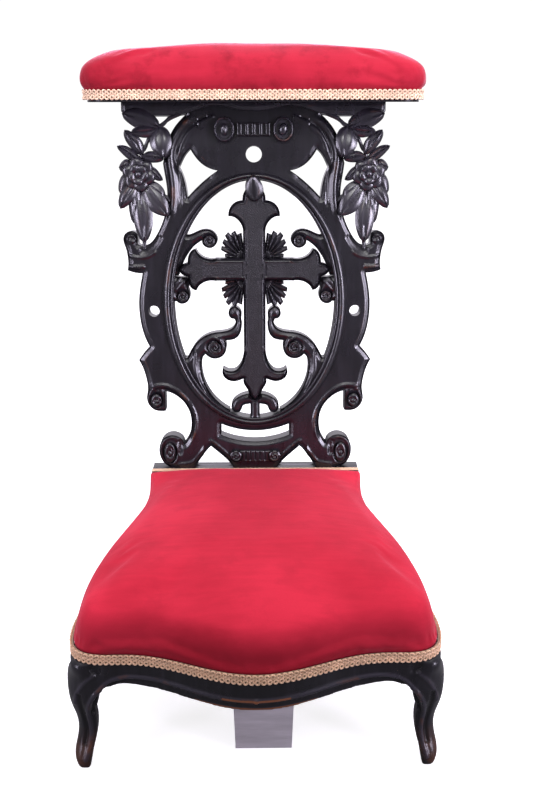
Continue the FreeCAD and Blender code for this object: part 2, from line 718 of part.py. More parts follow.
def seat_upholstery():
    """The stuffing as one domed solid, and the velvet as a skin over it down to the rebate."""
    skin = size("cover_thick")
    edge = size("rebate_deep") - FIT - skin
    bottom = FRAME_TOP + 2 * size("web_thick") + size("cloth_thick") + FIT
    cover = seat_dome(REBATE, 0.0, edge).cut(seat_dome(REBATE - 1.0, skin, edge))
    # at the rear the velvet ends above the webbing
    half = size("seat_half_rear") - size("rebate_deep") + FIT
    notch = Part.makeBox(2 * half, size("cleat_thick") + 5.0, bottom - REBATE + 5.0,
                         Vector(-half, SEAT_DEEP - size("cleat_thick"), REBATE - 5.0))
    plain_feature("seat_cover", cover.cut(notch))
    plain_feature("seat_stuffing", seat_dome(bottom, skin + FIT, edge + FIT))


def seat_braid():
    """Braid over the cover's lower edge, along the front and both sides."""
    thick = size("braid_thick")
    outer_inset = size("rebate_deep") - FIT - thick - size("cover_thick") - FIT
    z = REBATE
    loops = []
    for inset in (outer_inset, outer_inset + thick):
        half = half_plan(inset)
        half[-1] = (half[-1][0], SEAT_DEEP - FIT)
        points = mirrored(half)[:-1] + half
        curve = Part.BSplineCurve()
        curve.interpolate([Vector(x, y, z) for x, y in points])
        loops.append((curve.toShape(), Vector(points[0][0], points[0][1], z),
                      Vector(points[-1][0], points[-1][1], z)))
    edges = [loops[0][0], Part.LineSegment(loops[0][2], loops[1][2]).toShape(), loops[1][0],
             Part.LineSegment(loops[1][1], loops[0][1]).toShape()]
    face = Part.Face(Part.Wire(edges))
    return plain_feature("seat_braid", face.extrude(Vector(0, 0, size("braid_high"))))


def rear_braid():
    """Braid laid on the ledge along the cover's rear edge, in front of the back."""
    body = new_body("rear_braid")
    plan = new_sketch(body, "rear_braid_plan", "XY_Plane", LEDGE)
    half = "sizes.seat_half_rear"
    bound_box(plan, "-(%s)" % half, half, "sizes.seat_deep",
              "sizes.seat_deep + sizes.back_set - sizes.fit_gap")
    pad(body, plan, "sizes.braid_thick")
    return keep(body, "rear_braid")


# ---------------------------------------------------------------------------------------------
# The carved back: outlines
# ---------------------------------------------------------------------------------------------
# Across is measured from the centre line, up from the ledge along the leaning front face.
# Each run ends where the next begins.

C_ARC = [(104, 580), (113, 571.5), (122, 561.5), (130, 549), (136, 535), (139.5, 521), (143, 505)]
SHOULDER = [(143, 505), (140, 484), (137.5, 462), (138.5, 445), (142, 427), (148, 410), (157, 393),
               (168, 380.5), (177, 377), (187, 380)]
CURL_END = [(187, 380), (187, 395)]
CURL = [(187, 395), (192, 399.5), (200, 400), (207.5, 395), (210, 387), (207, 375), (204, 360), (203.5, 347),
        (205, 338)]
FLAP = [(205, 338), (193, 334), (181, 333)]
SIDE_SWELL = [(181, 333), (185.5, 311), (188.5, 285), (187.5, 260), (183, 236), (173, 212)]
POINT_UPPER = [(173, 212), (182, 203), (192, 190)]
POINT_LOWER = [(192, 190), (185, 175), (180.5, 158), (179, 140), (181, 125), (176.5, 111.5), (168, 104.5),
               (159, 102.5), (150, 103)]
HOOK_END = [(150, 103), (150, 137)]
HOLLOW = [(150, 137), (138, 133), (125, 124), (114, 110), (108.5, 95), (107.5, 80), (110, 64), (120.5, 44)]
VOLUTE = [(120.5, 44), (124.5, 53.5), (133, 59), (144, 60), (155, 54.5), (161.5, 44), (163, 32), (159.5, 18),
          (151, 7.5), (139, 2), (128, -3)]
ARCH_SIDE = [(103, -3), (99.5, 8), (94, 17), (88, 25)]
ARCH_RISE = [(88, 25), (82.5, 33), (75, 41)]
ARCH_FALL = [(75, 41), (62, 29.5), (50, 18.5), (41, 8), (35, -3)]
BATTEN_LOW = [(0, 584), (22, 585), (42, 589.5), (58, 591.5), (74, 589.5), (92, 583.5), (110, 579), (130, 577)]
SPANDREL = ([(106, 452), (93, 465.5), (76, 480.5), (57, 494)],
            [(57, 494), (72, 498), (83, 505), (93, 516), (100, 527)],
            [(100, 527), (107, 520), (113, 510.5), (118, 499.5)],
            [(118, 499.5), (112, 486), (108, 470), (106, 452)])
VOLUTE_EYE = (145.0, 30.0, 9.5, 17.0)
HOOK_EYE = (165.0, 121.0, 9.0, 11.0)


def stretch(points):
    """Fits an outline of the boards to the back's real width and height."""
    wide = size("back_half") / LAYOUT_HALF
    tall = size("back_high") / LAYOUT_HIGH
    return [(x * wide, y * tall) for x, y in points]


def fret(points):
    """Fits an outline of the work inside the oval to the oval's real size and place."""
    half_wide, half_high, centre = LAYOUT_OVAL
    wide = size("oval_half_wide") / half_wide
    tall = size("oval_half_high") / half_high
    return [(x * wide, size("oval_centre") + (y - centre) * tall) for x, y in points]


def oval_up(x):
    """Half height of the oval opening at a distance from the centre line."""
    return size("oval_half_high") * math.sqrt(1 - (x / size("oval_half_wide")) ** 2)


BACK_TOP = size("back_high") / math.cos(RAKE)
THROUGH = BOARD + 5.0


def back_body(name):
    return new_body(name, BACK_PLACE)


def sided(side, runs):
    return [[(side * x, y) for x, y in run] for run in runs]


def level_cuts(body, name):
    """Cuts the leaning boards level at the ledge and at the rest board's underside."""
    slope = math.tan(RAKE)
    near = -20.0
    far = BOARD + 20.0
    spare = 60.0
    sketch = new_sketch(body, name + "_levels", "YZ_Plane")
    polygon(sketch, [(near, near * slope), (far, far * slope), (far, -spare), (near, -spare)])
    polygon(sketch, [(near, BACK_TOP + near * slope), (near, BACK_TOP + spare), (far, BACK_TOP + spare),
                     (far, BACK_TOP + far * slope)])
    return pocket(body, sketch, 4 * size("back_half"), midplane=True)


def add_oval(sketch, centre, half_wide, half_high):
    middle = flat(centre)
    top = middle + Vector(0, half_high, 0)
    side = middle + Vector(half_wide, 0, 0)
    if half_high > half_wide:
        sketch.addGeometry(Part.Ellipse(top, side, middle), False)
    else:
        sketch.addGeometry(Part.Ellipse(side, top, middle), False)


def cut_oval(body, name):
    """Cuts the great oval opening out of a board."""
    sketch = new_sketch(body, name + "_oval", "XZ_Plane", 1.0)
    add_oval(sketch, (0, size("oval_centre")), size("oval_half_wide"), size("oval_half_high"))
    return pocket(body, sketch, THROUGH)


def trim_to_oval(body, name):
    """Removes what lies outside the oval, so that a piece meets the opening's wall."""
    sketch = new_sketch(body, name + "_trim", "XZ_Plane")
    add_oval(sketch, (0, size("oval_centre")), size("oval_half_wide"), size("oval_half_high"))
    wide = 2 * size("oval_half_wide")
    high = 2 * size("oval_half_high")
    centre = size("oval_centre")
    polygon(sketch, [(-wide, centre - high), (wide, centre - high), (wide, centre + high),
                     (-wide, centre + high)])
    return pocket(body, sketch, 4 * BOARD, midplane=True)


def batten_edge():
    """The batten's lower edge from end to end, as an inner curve and its right end point."""
    half = stretch(BATTEN_LOW)
    curve = flipped(half)[::-1][:-1] + half
    return curve, (size("batten_half") - 4.0, half[-1][1])


def cut_batten_seat(body, name):
    """Cuts the top of a board to the batten's lower edge."""
    curve, end = batten_edge()
    high = BACK_TOP + 40.0
    start = (-end[0], end[1])
    sketch = new_sketch(body, name + "_seat", "XZ_Plane", 1.0)
    trace(sketch, [start, curve[0]], curve, [curve[-1], end], [end, (end[0], high)],
          [(end[0], high), (start[0], high)], [(start[0], high), start])
    return pocket(body, sketch, THROUGH)


def cut_spandrel(body, name, side):
    sketch = new_sketch(body, name + "_spandrel", "XZ_Plane", 1.0)
    trace(sketch, *sided(side, [stretch(run) for run in SPANDREL]))
    return pocket(body, sketch, THROUGH)


def dowel_places():
    """Across positions of the dowels that stand in the ledge."""
    wide = size("back_half") / LAYOUT_HALF
    return [across * wide for across in (-115.0, -20.0, 20.0, 115.0)]


def drill_for_dowels(body, name, places):
    """Blind holes from below, along the lean of the boards."""
    sketch = new_sketch(body, name + "_dowel_holes", "XY_Plane", -10.0)
    for x in places:
        circle(sketch, (x, BOARD / 2.0), size("dowel_radius") + FIT / 3.0)
    return pocket(body, sketch, 10.0 + size("dowel_long") / 2.0 + 1.0, reverse=True)


def dowel_rods(extra, spare):
    """The four dowels as rods: extra widens them and spare lengthens them, to drill with."""
    long = size("dowel_long")
    rods = [Part.makeCylinder(size("dowel_radius") + extra, long + 2 * spare,
                              Vector(x, BOARD / 2.0, -long / 2.0 - spare)) for x in dowel_places()]
    return Part.makeCompound(rods)


# ---------------------------------------------------------------------------------------------
# The carved back: boards
# ---------------------------------------------------------------------------------------------

def side_board(side, word):
    """A side of the back: scrolled edges from the batten down to the volute on the ledge."""
    name = "side_board_" + word
    body = back_body(name)
    seam = size("seam_half")
    outline = new_sketch(body, name + "_outline", "XZ_Plane")
    arc = stretch(C_ARC)
    arch = stretch(ARCH_SIDE)
    arch[-1] = (seam, arch[-1][1])
    high = BACK_TOP + 10.0
    runs = [[(seam, high), (arc[0][0], high)], [(arc[0][0], high), arc[0]], arc]
    pieces = (SHOULDER, CURL_END, CURL, FLAP, SIDE_SWELL, POINT_UPPER, POINT_LOWER, HOOK_END, HOLLOW, VOLUTE)
    runs += [stretch(piece) for piece in pieces]
    runs += [[runs[-1][-1], arch[0]], arch, [arch[-1], (seam, high)]]
    trace(outline, *sided(side, runs))
    pad(body, outline, "sizes.board_thick", reverse=True)
    eyes = new_sketch(body, name + "_eyes", "XZ_Plane")
    for x, y, wide, high in (VOLUTE_EYE, HOOK_EYE):
        centre = stretch([(side * x, y)])[0]
        add_oval(eyes, centre, wide, high)
    pad(body, eyes, "sizes.moulding_proud")
    cut_oval(body, name)
    cut_spandrel(body, name, side)
    cut_batten_seat(body, name)
    hole = new_sketch(body, name + "_hole", "XZ_Plane", 1.0)
    circle(hole, (side * size("side_hole_out"), size("side_hole_up")), size("side_hole"))
    pocket(body, hole, THROUGH)
    level_cuts(body, name)
    drill_for_dowels(body, name, [x for x in dowel_places() if x * side > seam])
    return keep(body, name)


def crest_board():
    """The top of the back between the side boards, with its round hole."""
    name = "crest_board"
    body = back_body(name)
    seam = size("seam_half")
    low = size("oval_centre") + oval_up(seam) - 5.0
    high = BACK_TOP + 10.0
    outline = new_sketch(body, name + "_outline", "XZ_Plane")
    polygon(outline, [(-seam, low), (seam, low), (seam, high), (-seam, high)])
    pad(body, outline, "sizes.board_thick", reverse=True)
    cut_oval(body, name)
    for side, word in SIDES:
        cut_spandrel(body, name + "_" + word, side)
    cut_batten_seat(body, name)
    hole = new_sketch(body, name + "_hole", "XZ_Plane", 1.0)
    circle(hole, (0, size("crest_hole_up")), size("crest_hole"))
    pocket(body, hole, THROUGH)
    return keep(body, name)


def base_board():
    """The foot of the back between the side boards: two arches and a slit under the oval."""
    name = "base_board"
    body = back_body(name)
    seam = size("seam_half")
    high = size("oval_centre") - oval_up(seam) + 5.0
    rise = stretch(ARCH_RISE)
    fall = stretch(ARCH_FALL)
    rise[0] = (seam, rise[0][1])
    outline = new_sketch(body, name + "_outline", "XZ_Plane")
    right = [[(seam, high), rise[0]], rise, fall]
    left = [[(-x, y) for x, y in reversed(run)] for run in reversed(right)]
    runs = right + [[fall[-1], (-fall[-1][0], fall[-1][1])]] + left + [[(-seam, high), (seam, high)]]
    trace(outline, *runs)
    pad(body, outline, "sizes.board_thick", reverse=True)
    cut_oval(body, name)
    slit = new_sketch(body, name + "_slit", "XZ_Plane", 1.0)
    half = size("slit_half")
    deep = size("slit_high")
    base = size("oval_centre") - size("oval_half_high") - size("slit_gap")
    steps = 6
    xs = [half * (2.0 * i / steps - 1.0) for i in range(steps + 1)]
    upper = [(x, base + (size("oval_half_high") - oval_up(x)) * 0.62) for x in xs]
    lower = [(x, y - deep) for x, y in reversed(upper)]
    trace(slit, upper, [upper[-1], lower[0]], lower, [lower[-1], upper[0]])
    pocket(body, slit, THROUGH)
    level_cuts(body, name)
    drill_for_dowels(body, name, [x for x in dowel_places() if abs(x) < seam])
    return keep(body, name)


def top_batten():
    """The batten under the rest: a bracketed lower edge that the boards are cut to."""
    name = "top_batten"
    body = back_body(name + "_body")
    curve, end = batten_edge()
    high = BACK_TOP + 10.0
    half = size("batten_half")
    start = (-end[0], end[1])
    outline = new_sketch(body, name + "_outline", "XZ_Plane", size("batten_proud"))
    shoulder = end[1] + 6.0
    trace(outline, [start, curve[0]], curve, [curve[-1], end], [end, (half, shoulder)],
          [(half, shoulder), (half, high)], [(half, high), (-half, high)], [(-half, high), (-half, shoulder)],
          [(-half, shoulder), start])
    pad(body, outline, "sizes.board_thick + sizes.batten_proud", reverse=True)
    level_cuts(body, name)
    cut = doc.addObject("Part::Cut", name)
    cut.Base = body
    cut.Tool = drill_tool("batten_drill", rest_screw_shapes(FIT / 3.0))
    return keep(cut, name)


def oval_moulding():
    """The raised ring round the oval, with a groove along its crown."""
    name = "oval_moulding"
    body = back_body(name)
    centre = (0, size("oval_centre"))
    wide = size("oval_half_wide")
    high = size("oval_half_high")
    ring = new_sketch(body, name + "_ring", "XZ_Plane")
    add_oval(ring, centre, wide, high)
    add_oval(ring, centre, wide + size("moulding_wide"), high + size("moulding_crown"))
    pad(body, ring, "sizes.moulding_proud")
    groove = new_sketch(body, name + "_groove", "XZ_Plane", size("moulding_proud") + 1.0)
    for share in (0.26, 0.48):
        add_oval(groove, centre, wide + share * size("moulding_wide"), high + share * size("moulding_crown"))
    pocket(body, groove, 1.0 + 0.4 * size("moulding_proud"))
    dress(body, "Chamfer", lambda edge: outer_ring_edge(edge), 0.5 * size("moulding_proud"))
    return keep(body, name)


def outer_ring_edge(edge):
    """The moulding's outer edge on its front side."""
    box = edge.BoundBox
    outer = size("oval_half_high") + size("moulding_crown")
    return abs(box.ZLength - 2 * outer) < 0.1 and box.YMax < -size("moulding_proud") + 0.1


# ---------------------------------------------------------------------------------------------
# The carved back: cross, rays and scrolls inside the oval
# ---------------------------------------------------------------------------------------------

def cross_end(points):
    """The right half of a cross end, from its neck to its tip, as runs that meet at corners."""
    return [fret(run) for run in points]


UPPER_END = ([(18, 398), (20, 409), (26, 417.5), (34, 422.5), (41, 423)],
             [(41, 423), (39.5, 434), (33, 443), (25, 447), (18.5, 448)],
             [(18.5, 448), (16, 460), (11.5, 469), (8.5, 479), (4, 485), (0, 487)])
LOWER_END = ([(18.5, 205), (20.5, 190), (25, 180), (33, 172.5), (43, 171.5), (52.5, 176.5)],
             [(52.5, 176.5), (54, 168), (50, 160), (43, 155.5), (34, 154), (25, 156), (19, 158.5)],
             [(19, 158.5), (17.5, 148), (12.5, 140), (9, 131), (0, 121)])
ARM_END = ([(62, 16), (76, 18), (86, 22.5), (94, 33)],
           [(94, 33), (102, 29.5), (106.5, 21), (107.5, 11)],
           [(107.5, 11), (115, 8.5), (122, 0)])


def bevel_corner(side, centre):
    """The triangle that bevels one long front edge: across from the centre, then depth."""
    edge = size("cross_half")
    front = -size("cross_proud")
    bevel = size("cross_bevel")
    points = [(edge - bevel - 1.0, front - 1.0), (edge + 1.0, front + bevel + 1.0), (edge + 1.0, front - 1.0)]
    return [(centre + side * x, y) for x, y in points]


def cross_upright():
    """The upright, with a bud and two side lobes at each end, halved over the arm."""
    name = "cross_upright"
    body = back_body(name)
    outline = new_sketch(body, name + "_outline", "XZ_Plane", size("cross_proud"))
    half = size("cross_half")
    upper = cross_end(UPPER_END)
    lower = cross_end(LOWER_END)
    neck = (half, upper[0][0][1])
    ankle = (half, lower[0][0][1])
    upper[0][0] = neck
    lower[0][0] = ankle
    right = [list(reversed(run)) for run in reversed(lower)] + [[ankle, neck]] + upper
    left = [[(-x, y) for x, y in reversed(run)] for run in reversed(right)]
    trace(outline, *(right + left))
    pad(body, outline, "sizes.cross_thick", reverse=True)
    bevels = new_sketch(body, name + "_bevels", "XY_Plane", ankle[1] + half / 2.0)
    for side in (-1, 1):
        polygon(bevels, bevel_corner(side, 0.0))
    pocket(body, bevels, neck[1] - ankle[1] - half, reverse=True)
    lap = new_sketch(body, name + "_lap", "XZ_Plane", size("cross_proud") - size("cross_thick") / 2.0)
    centre = size("cross_centre")
    polygon(lap, [(-2 * half, centre - half), (2 * half, centre - half), (2 * half, centre + half),
                  (-2 * half, centre + half)])
    pocket(body, lap, "sizes.cross_thick / 2 + 1", reverse=False)
    trim_to_oval(body, name)
    return keep(body, name)


def cross_arm():
    """The arm, with lobes and a bud at each end, halved under the upright."""
    name = "cross_arm"
    body = back_body(name)
    outline = new_sketch(body, name + "_outline", "XZ_Plane", size("cross_proud"))
    half = size("cross_half")
    centre = size("cross_centre")
    wide = size("oval_half_wide") / LAYOUT_OVAL[0]
    end = [[(x * wide, centre + y) for x, y in run] for run in ARM_END]
    end[0][0] = (end[0][0][0], centre + half)
    low = [[(x, 2 * centre - y) for x, y in reversed(run)] for run in reversed(end)]
    right = end + low
    left = [[(-x, y) for x, y in reversed(run)] for run in reversed(right)]
    runs = right + [[right[-1][-1], left[0][0]]] + left + [[left[-1][-1], right[0][0]]]
    trace(outline, *runs)
    pad(body, outline, "sizes.cross_thick", reverse=True)
    bevels = new_sketch(body, name + "_bevels", "YZ_Plane")
    for side in (-1, 1):
        polygon(bevels, [(y, x) for x, y in bevel_corner(side, centre)])
    pocket(body, bevels, 2 * end[0][0][0], midplane=True)
    lap = new_sketch(body, name + "_lap", "XZ_Plane", size("cross_proud") + 1.0)
    polygon(lap, [(-half, centre - 2 * half), (half, centre - 2 * half), (half, centre + 2 * half),
                  (-half, centre + 2 * half)])
    pocket(body, lap, "sizes.cross_thick / 2 + 1")
    trim_to_oval(body, name)
    return keep(body, name)


# Each ray of a fan: degrees from the arm, and its share of the longest ray's length
RAY_FAN = ((7, 0.64), (24, 0.83), (40, 0.9), (55, 1.0), (69, 0.95), (82, 0.84))
RAY_HALF = 4.6
RAY_NOTCH = 0.84


def ray_outline():
    """A fan between two flanks of the cross: along the arm, over the blunt rays, down the upright."""
    long = size("ray_length")

    def spot(degrees, reach):
        angle = math.radians(degrees)
        return (reach * math.cos(angle), reach * math.sin(angle))

    points = [(0.0, 0.0), (0.5 * long, 0.0)]
    for index, (degrees, share) in enumerate(RAY_FAN):
        points.append(spot(degrees - RAY_HALF, 0.96 * share * long))
        points.append(spot(degrees + RAY_HALF, share * long))
        if index < len(RAY_FAN) - 1:
            points.append(spot((degrees + RAY_FAN[index + 1][0]) / 2.0, RAY_NOTCH * share * long))
    return points + [(0.0, 0.45 * long)]


def sun_rays():
    """Four fans of blunt rays, one in each corner of the cross."""
    half = size("cross_half")
    centre = size("cross_centre")
    fans = []
    for side, word in SIDES:
        for up, place in ((1, "upper"), (-1, "lower")):
            body = back_body("ray_fan_%s_%s" % (place, word))
            sketch = new_sketch(body, body.Name + "_outline", "XZ_Plane", -size("ray_set"))
            polygon(sketch, [(side * (half + x), centre + up * (half + y)) for x, y in ray_outline()])
            pad(body, sketch, "sizes.ray_thick", reverse=True)
            fans.append(body)
    group = doc.addObject("Part::Compound", "sun_rays")
    group.Links = fans
    return keep(group, "sun_rays")


UPPER_SCROLL = ([(105, 394), (97, 397), (88, 401), (77, 403), (67, 400), (60.5, 392.5), (59.5, 384),
                 (63, 377), (70, 373), (77, 374), (82.5, 378.5), (84, 385)],
                [(84, 385), (92, 380), (99, 374), (107, 364), (114, 352.5), (119, 341), (123, 329)],
                [(123, 329), (150, 329)], [(150, 329), (150, 394)], [(150, 394), (105, 394)])
SIDE_LEAF = ([(109, 326), (106.5, 317), (108, 308)], [(108, 308), (105.5, 298), (108.5, 287.5), (117, 283),
             (127, 287)], [(127, 287), (150, 287)], [(150, 287), (150, 328.5)], [(150, 328.5), (109, 326)])
LOWER_SCROLL = ([(21, 250), (22, 258), (21.5, 267), (26, 275), (33.5, 278.5), (40.5, 274), (43, 266.5),
                 (40, 260), (34, 258)],
                [(34, 258), (31.5, 251), (35, 244), (42, 239.5), (52, 236.8), (64, 235.5), (76, 232.5),
                 (88, 226), (97, 217.5), (105, 206), (112, 193)],
                [(112, 193), (150, 193)], [(150, 193), (150, 60)], [(150, 60), (42, 60)],
                [(42, 60), (42, 103.5)],
                [(42, 103.5), (56, 113), (68, 124.5), (78, 139), (85, 155), (88.3, 171), (88.3, 185),
                 (86, 194), (81.5, 199)],
                [(81.5, 199), (75, 193.5), (66, 191.3), (56, 194), (49, 201.5), (46.5, 212), (49, 222)],
                [(49, 222), (41, 222.5), (32, 225), (25.5, 231), (22, 240), (21, 250)])
FOOT_ARCH_OUT = [(36.5, 101), (40, 109.5), (36, 119), (27, 126.5), (14, 131), (0, 132)]
FOOT_ARCH_IN = [(8, 114.3), (14, 113.2), (20, 111), (22.5, 105.5), (26, 100.5), (31, 99), (36.5, 101)]


def fret_piece(name, runs, ball=None):
    """A piece sawn from the fret board, cut to the oval's wall and round the cross."""
    body = back_body(name + "_body")
    outline = new_sketch(body, name + "_outline", "XZ_Plane", -size("fret_set"))
    trace(outline, *runs)
    pad(body, outline, "sizes.fret_thick", reverse=True)
    if ball:
        boss = new_sketch(body, name + "_boss", "XZ_Plane", -size("fret_set") - 1.0)
        circle(boss, (ball[0], ball[1]), ball[2])
        pad(body, boss, 3.0)
        dress(body, "Fillet", lambda edge: boss_edge(edge, ball), 1.2)
    trim_to_oval(body, name)
    cut = doc.addObject("Part::Cut", name)
    cut.Base = body
    cut.Tool = doc.getObject("cross_whole")
    return keep(cut, name)


def boss_edge(edge, ball):
    """The front rim of a scroll's round end."""
    box = edge.BoundBox
    return abs(box.ZLength - 2 * ball[2]) < 0.05 and box.YMax < size("fret_set") - 1.0


def scrolls():
    """The scrolls, leaves and small arch inside the oval."""
    whole = doc.addObject("Part::Compound", "cross_whole")
    whole.Links = [doc.getObject("cross_upright"), doc.getObject("cross_arm")]
    doc.recompute()
    for side, word in SIDES:
        runs = sided(side, [fret(run) for run in UPPER_SCROLL])
        fret_piece("upper_scroll_" + word, runs, ball_at(side, 72, 384, 8.5))
        runs = sided(side, [fret(run) for run in SIDE_LEAF])
        fret_piece("side_leaf_" + word, runs, ball_at(side, 116.5, 295, 8.0))
        runs = sided(side, [fret(run) for run in LOWER_SCROLL])
        fret_piece("lower_scroll_" + word, runs, ball_at(side, 66, 209, 10.0))
    outer = fret(FOOT_ARCH_OUT)
    inner = fret(FOOT_ARCH_IN)
    foot = size("oval_centre") - size("oval_half_high") - 4.0
    peg = inner[0][0]
    runs = [outer, mirrored(outer), flipped(inner)[::-1], [(-peg, inner[0][1]), (-peg, foot)],
            [(-peg, foot), (peg, foot)], [(peg, foot), inner[0]], inner]
    fret_piece("foot_arch", runs)


def ball_at(side, x, y, radius):
    centre = fret([(x, y)])[0]
    return (side * centre[0], centre[1], radius)


# ---------------------------------------------------------------------------------------------
# The carved back: planted ornaments
# ---------------------------------------------------------------------------------------------

def crest_ornaments():
    """Two oval bosses with sunk centres, and a fluted strap between them."""
    for side, word in SIDES:
        name = "crest_boss_" + word
        body = back_body(name)
        centre = stretch([(side * 46.0, 556.0)])[0]
        rim = new_sketch(body, name + "_rim", "XZ_Plane")
        add_oval(rim, centre, 16.5, 19.0)
        pad(body, rim, 7.0)
        sunk = new_sketch(body, name + "_sunk", "XZ_Plane", 8.0)
        add_oval(sunk, centre, 12.5, 15.0)
        add_oval(sunk, centre, 6.0, 9.0)
        pocket(body, sunk, 5.0)
        keep(body, name)
    body = back_body("crest_strap")
    strap = new_sketch(body, "crest_strap_outline", "XZ_Plane")
    low, high = [y for x, y in stretch([(0, 546), (0, 566)])]
    reach = 26.0
    polygon(strap, [(-reach, low), (reach, low), (reach, high), (-reach, high)])
    pad(body, strap, 4.0)
    flutes = new_sketch(body, "crest_strap_flutes", "XZ_Plane", 5.0)
    for middle in (-16.0, -5.5, 5.5, 16.0):
        polygon(flutes, [(middle - 2.5, low + 3), (middle + 2.5, low + 3), (middle + 2.5, high - 3),
                         (middle - 2.5, high - 3)])
    pocket(body, flutes, 3.0)
    keep(body, "crest_strap")


def base_cartouche():
    """A small scrolled strap at the foot of the back."""
    name = "base_cartouche"
    body = back_body(name)
    (across, up), (reach, high) = stretch([(33, 24), (26, 33)])
    low = 2 * up - high
    strap = new_sketch(body, name + "_strap", "XZ_Plane")
    polygon(strap, [(-reach, low), (reach, low), (reach, high), (-reach, high)])
    pad(body, strap, 5.0)
    ends = new_sketch(body, name + "_ends", "XZ_Plane")
    for side in (-1, 1):
        circle(ends, (side * across, up), 10.5)
    pad(body, ends, 7.0)
    return keep(body, name)


# Leaves of the spray beside the left or right scroll: foot, tip, width, and how far it stands forward
SPRAY_LEAVES = (
    ((146, 561), (204, 580), 23.0, 4.0), ((150, 557), (191, 550), 14.0, 7.0),
    ((174, 518), (200, 556), 15.0, 6.0), ((176, 508), (214, 531), 12.0, 4.0),
    ((190, 500), (212, 500), 15.0, 5.0), ((172, 499), (143, 480), 11.0, 7.0),
    ((190, 489), (211, 458), 17.0, 4.0), ((186, 480), (211, 435), 14.0, 8.0),
    ((184, 474), (193, 413), 13.0, 5.0), ((180, 462), (175, 382), 18.0, 8.0),
    ((176, 466), (166, 412), 12.0, 4.0), ((176, 474), (136, 424), 19.0, 7.0),
    ((172, 476), (143, 450), 17.0, 4.0), ((177, 514), (141, 513), 13.0, 5.0),
)
SPRAY_BUD = ((149, 561), (139, 513), 25.0, 8.0)
SPRAY_STEMS = (((112, 583), (150, 560)), ((150, 560), (177, 522)), ((177, 522), (181, 488)),
               ((181, 488), (134, 446)), ((181, 488), (177, 372)))
ROSE_CENTRE = (181, 488)
SPRAY_DEEP = 2.5


def leaf(foot, tip, wide, forward):
    """A leaf with a raised midrib: diamonds of one shape along its length, joined by flat faces."""
    start = Vector(foot[0], 0, foot[1])
    end = Vector(tip[0], 0, tip[1])
    along = end - start
    across = Vector(-along.z, 0, along.x)
    across.normalize()
    front = Vector(0, -1, 0)
    rings = []
    for share, scale in ((0.0, 0.3), (0.2, 0.82), (0.48, 1.0), (0.76, 0.7), (1.0, 0.1)):
        middle = start + along * share + front * (forward * math.sin(0.75 * math.pi * share))
        half = across * (wide * scale / 2.0)
        deep = front * (5.5 * scale)
        rings.append([middle + half, middle + deep, middle - half, middle - deep])
    faces = [Part.Face(Part.makePolygon(ring + [ring[0]])) for ring in (rings[0], rings[-1])]
    for low, high in zip(rings, rings[1:]):
        for k in range(4):
            n = (k + 1) % 4
            faces.append(Part.Face(Part.makePolygon([low[k], low[n], high[n], high[k], low[k]])))
    return Part.makeSolid(Part.makeShell(faces))


def stem(start, end, radius=3.6):
    """A straight round stem between two points of the spray."""
    a = Vector(start[0], SPRAY_DEEP, start[1])
    b = Vector(end[0], SPRAY_DEEP, end[1])
    return Part.makeCylinder(radius, (b - a).Length, a, b - a)


def rose(centre):
    """A rose: a round ground, five petals and a small heart."""
    middle = Vector(centre[0], -3.0, centre[1])
    pieces = [Part.makeCylinder(13.0, 16.0, Vector(centre[0], -3.0, centre[1]), Vector(0, 1, 0)),
              Part.makeSphere(8.5, middle + Vector(0, -4.0, 0))]
    for index in range(5):
        angle = math.radians(90 + 72 * index)
        offset = Vector(12.5 * math.cos(angle), 0, 12.5 * math.sin(angle))
        pieces.append(Part.makeSphere(9.5, middle + offset))
    return pieces


def flower_spray(side, word):
    """A rose, a bud and leaves on stems, carved as one piece and fitted against the side scroll."""
    pieces = [leaf(*values) for values in SPRAY_LEAVES + (SPRAY_BUD,)]
    pieces += [stem(*ends) for ends in SPRAY_STEMS]
    pieces += rose(ROSE_CENTRE)
    whole = pieces[0].multiFuse(pieces[1:])
    if side < 0:
        whole = whole.mirror(Vector(0, 0, 0), Vector(1, 0, 0))
    blank = drill_tool("flower_spray_%s_blank" % word, whole)
    against = doc.addObject("Part::Compound", "spray_seat_" + word)
    against.Links = [doc.getObject("side_board_" + word), doc.getObject("top_batten")]
    cut = doc.addObject("Part::Cut", "flower_spray_" + word)
    cut.Base = blank
    cut.Tool = against
    return keep(cut, "flower_spray_" + word)


# ---------------------------------------------------------------------------------------------
# Fixings and the rear rail
# ---------------------------------------------------------------------------------------------

def drill_tool(name, shape, place=BACK_PLACE):
    tool = doc.addObject("Part::Feature", name)
    tool.Shape = shape
    tool.Placement = place
    return tool


def rear_rail():
    """The deep rail between the rear legs. The back stands on its top, held by dowels."""
    body = new_body("rear_rail_body")
    block = new_sketch(body, "rear_rail_block", "XZ_Plane", -SEAT_DEEP)
    half = "sizes.seat_half_rear - sizes.rear_leg_width"
    bound_box(block, "-(%s)" % half, half, "sizes.rear_rail_bottom", "sizes.ledge_height")
    pad(body, block, "sizes.rear_rail_deep", reverse=True)
    tenons = new_sketch(body, "rear_rail_tenons", "XZ_Plane", -rear_tenon_middle())
    for side in (-1, 1):
        polygon(tenons, rear_tenon_face(side * REAR_LEG_IN, side * (REAR_LEG_IN + 10.0)))
    pad(body, tenons, "sizes.tenon_thick", midplane=True)
    rail = doc.addObject("Part::Cut", "rear_rail")
    rail.Base = body
    rail.Tool = drill_tool("rear_rail_drill", dowel_rods(FIT / 3.0, 1.0))
    return keep(rail, "rear_rail")


def back_dowels():
    return plain_feature("back_dowels", dowel_rods(0.0, 0.0), BACK_PLACE)


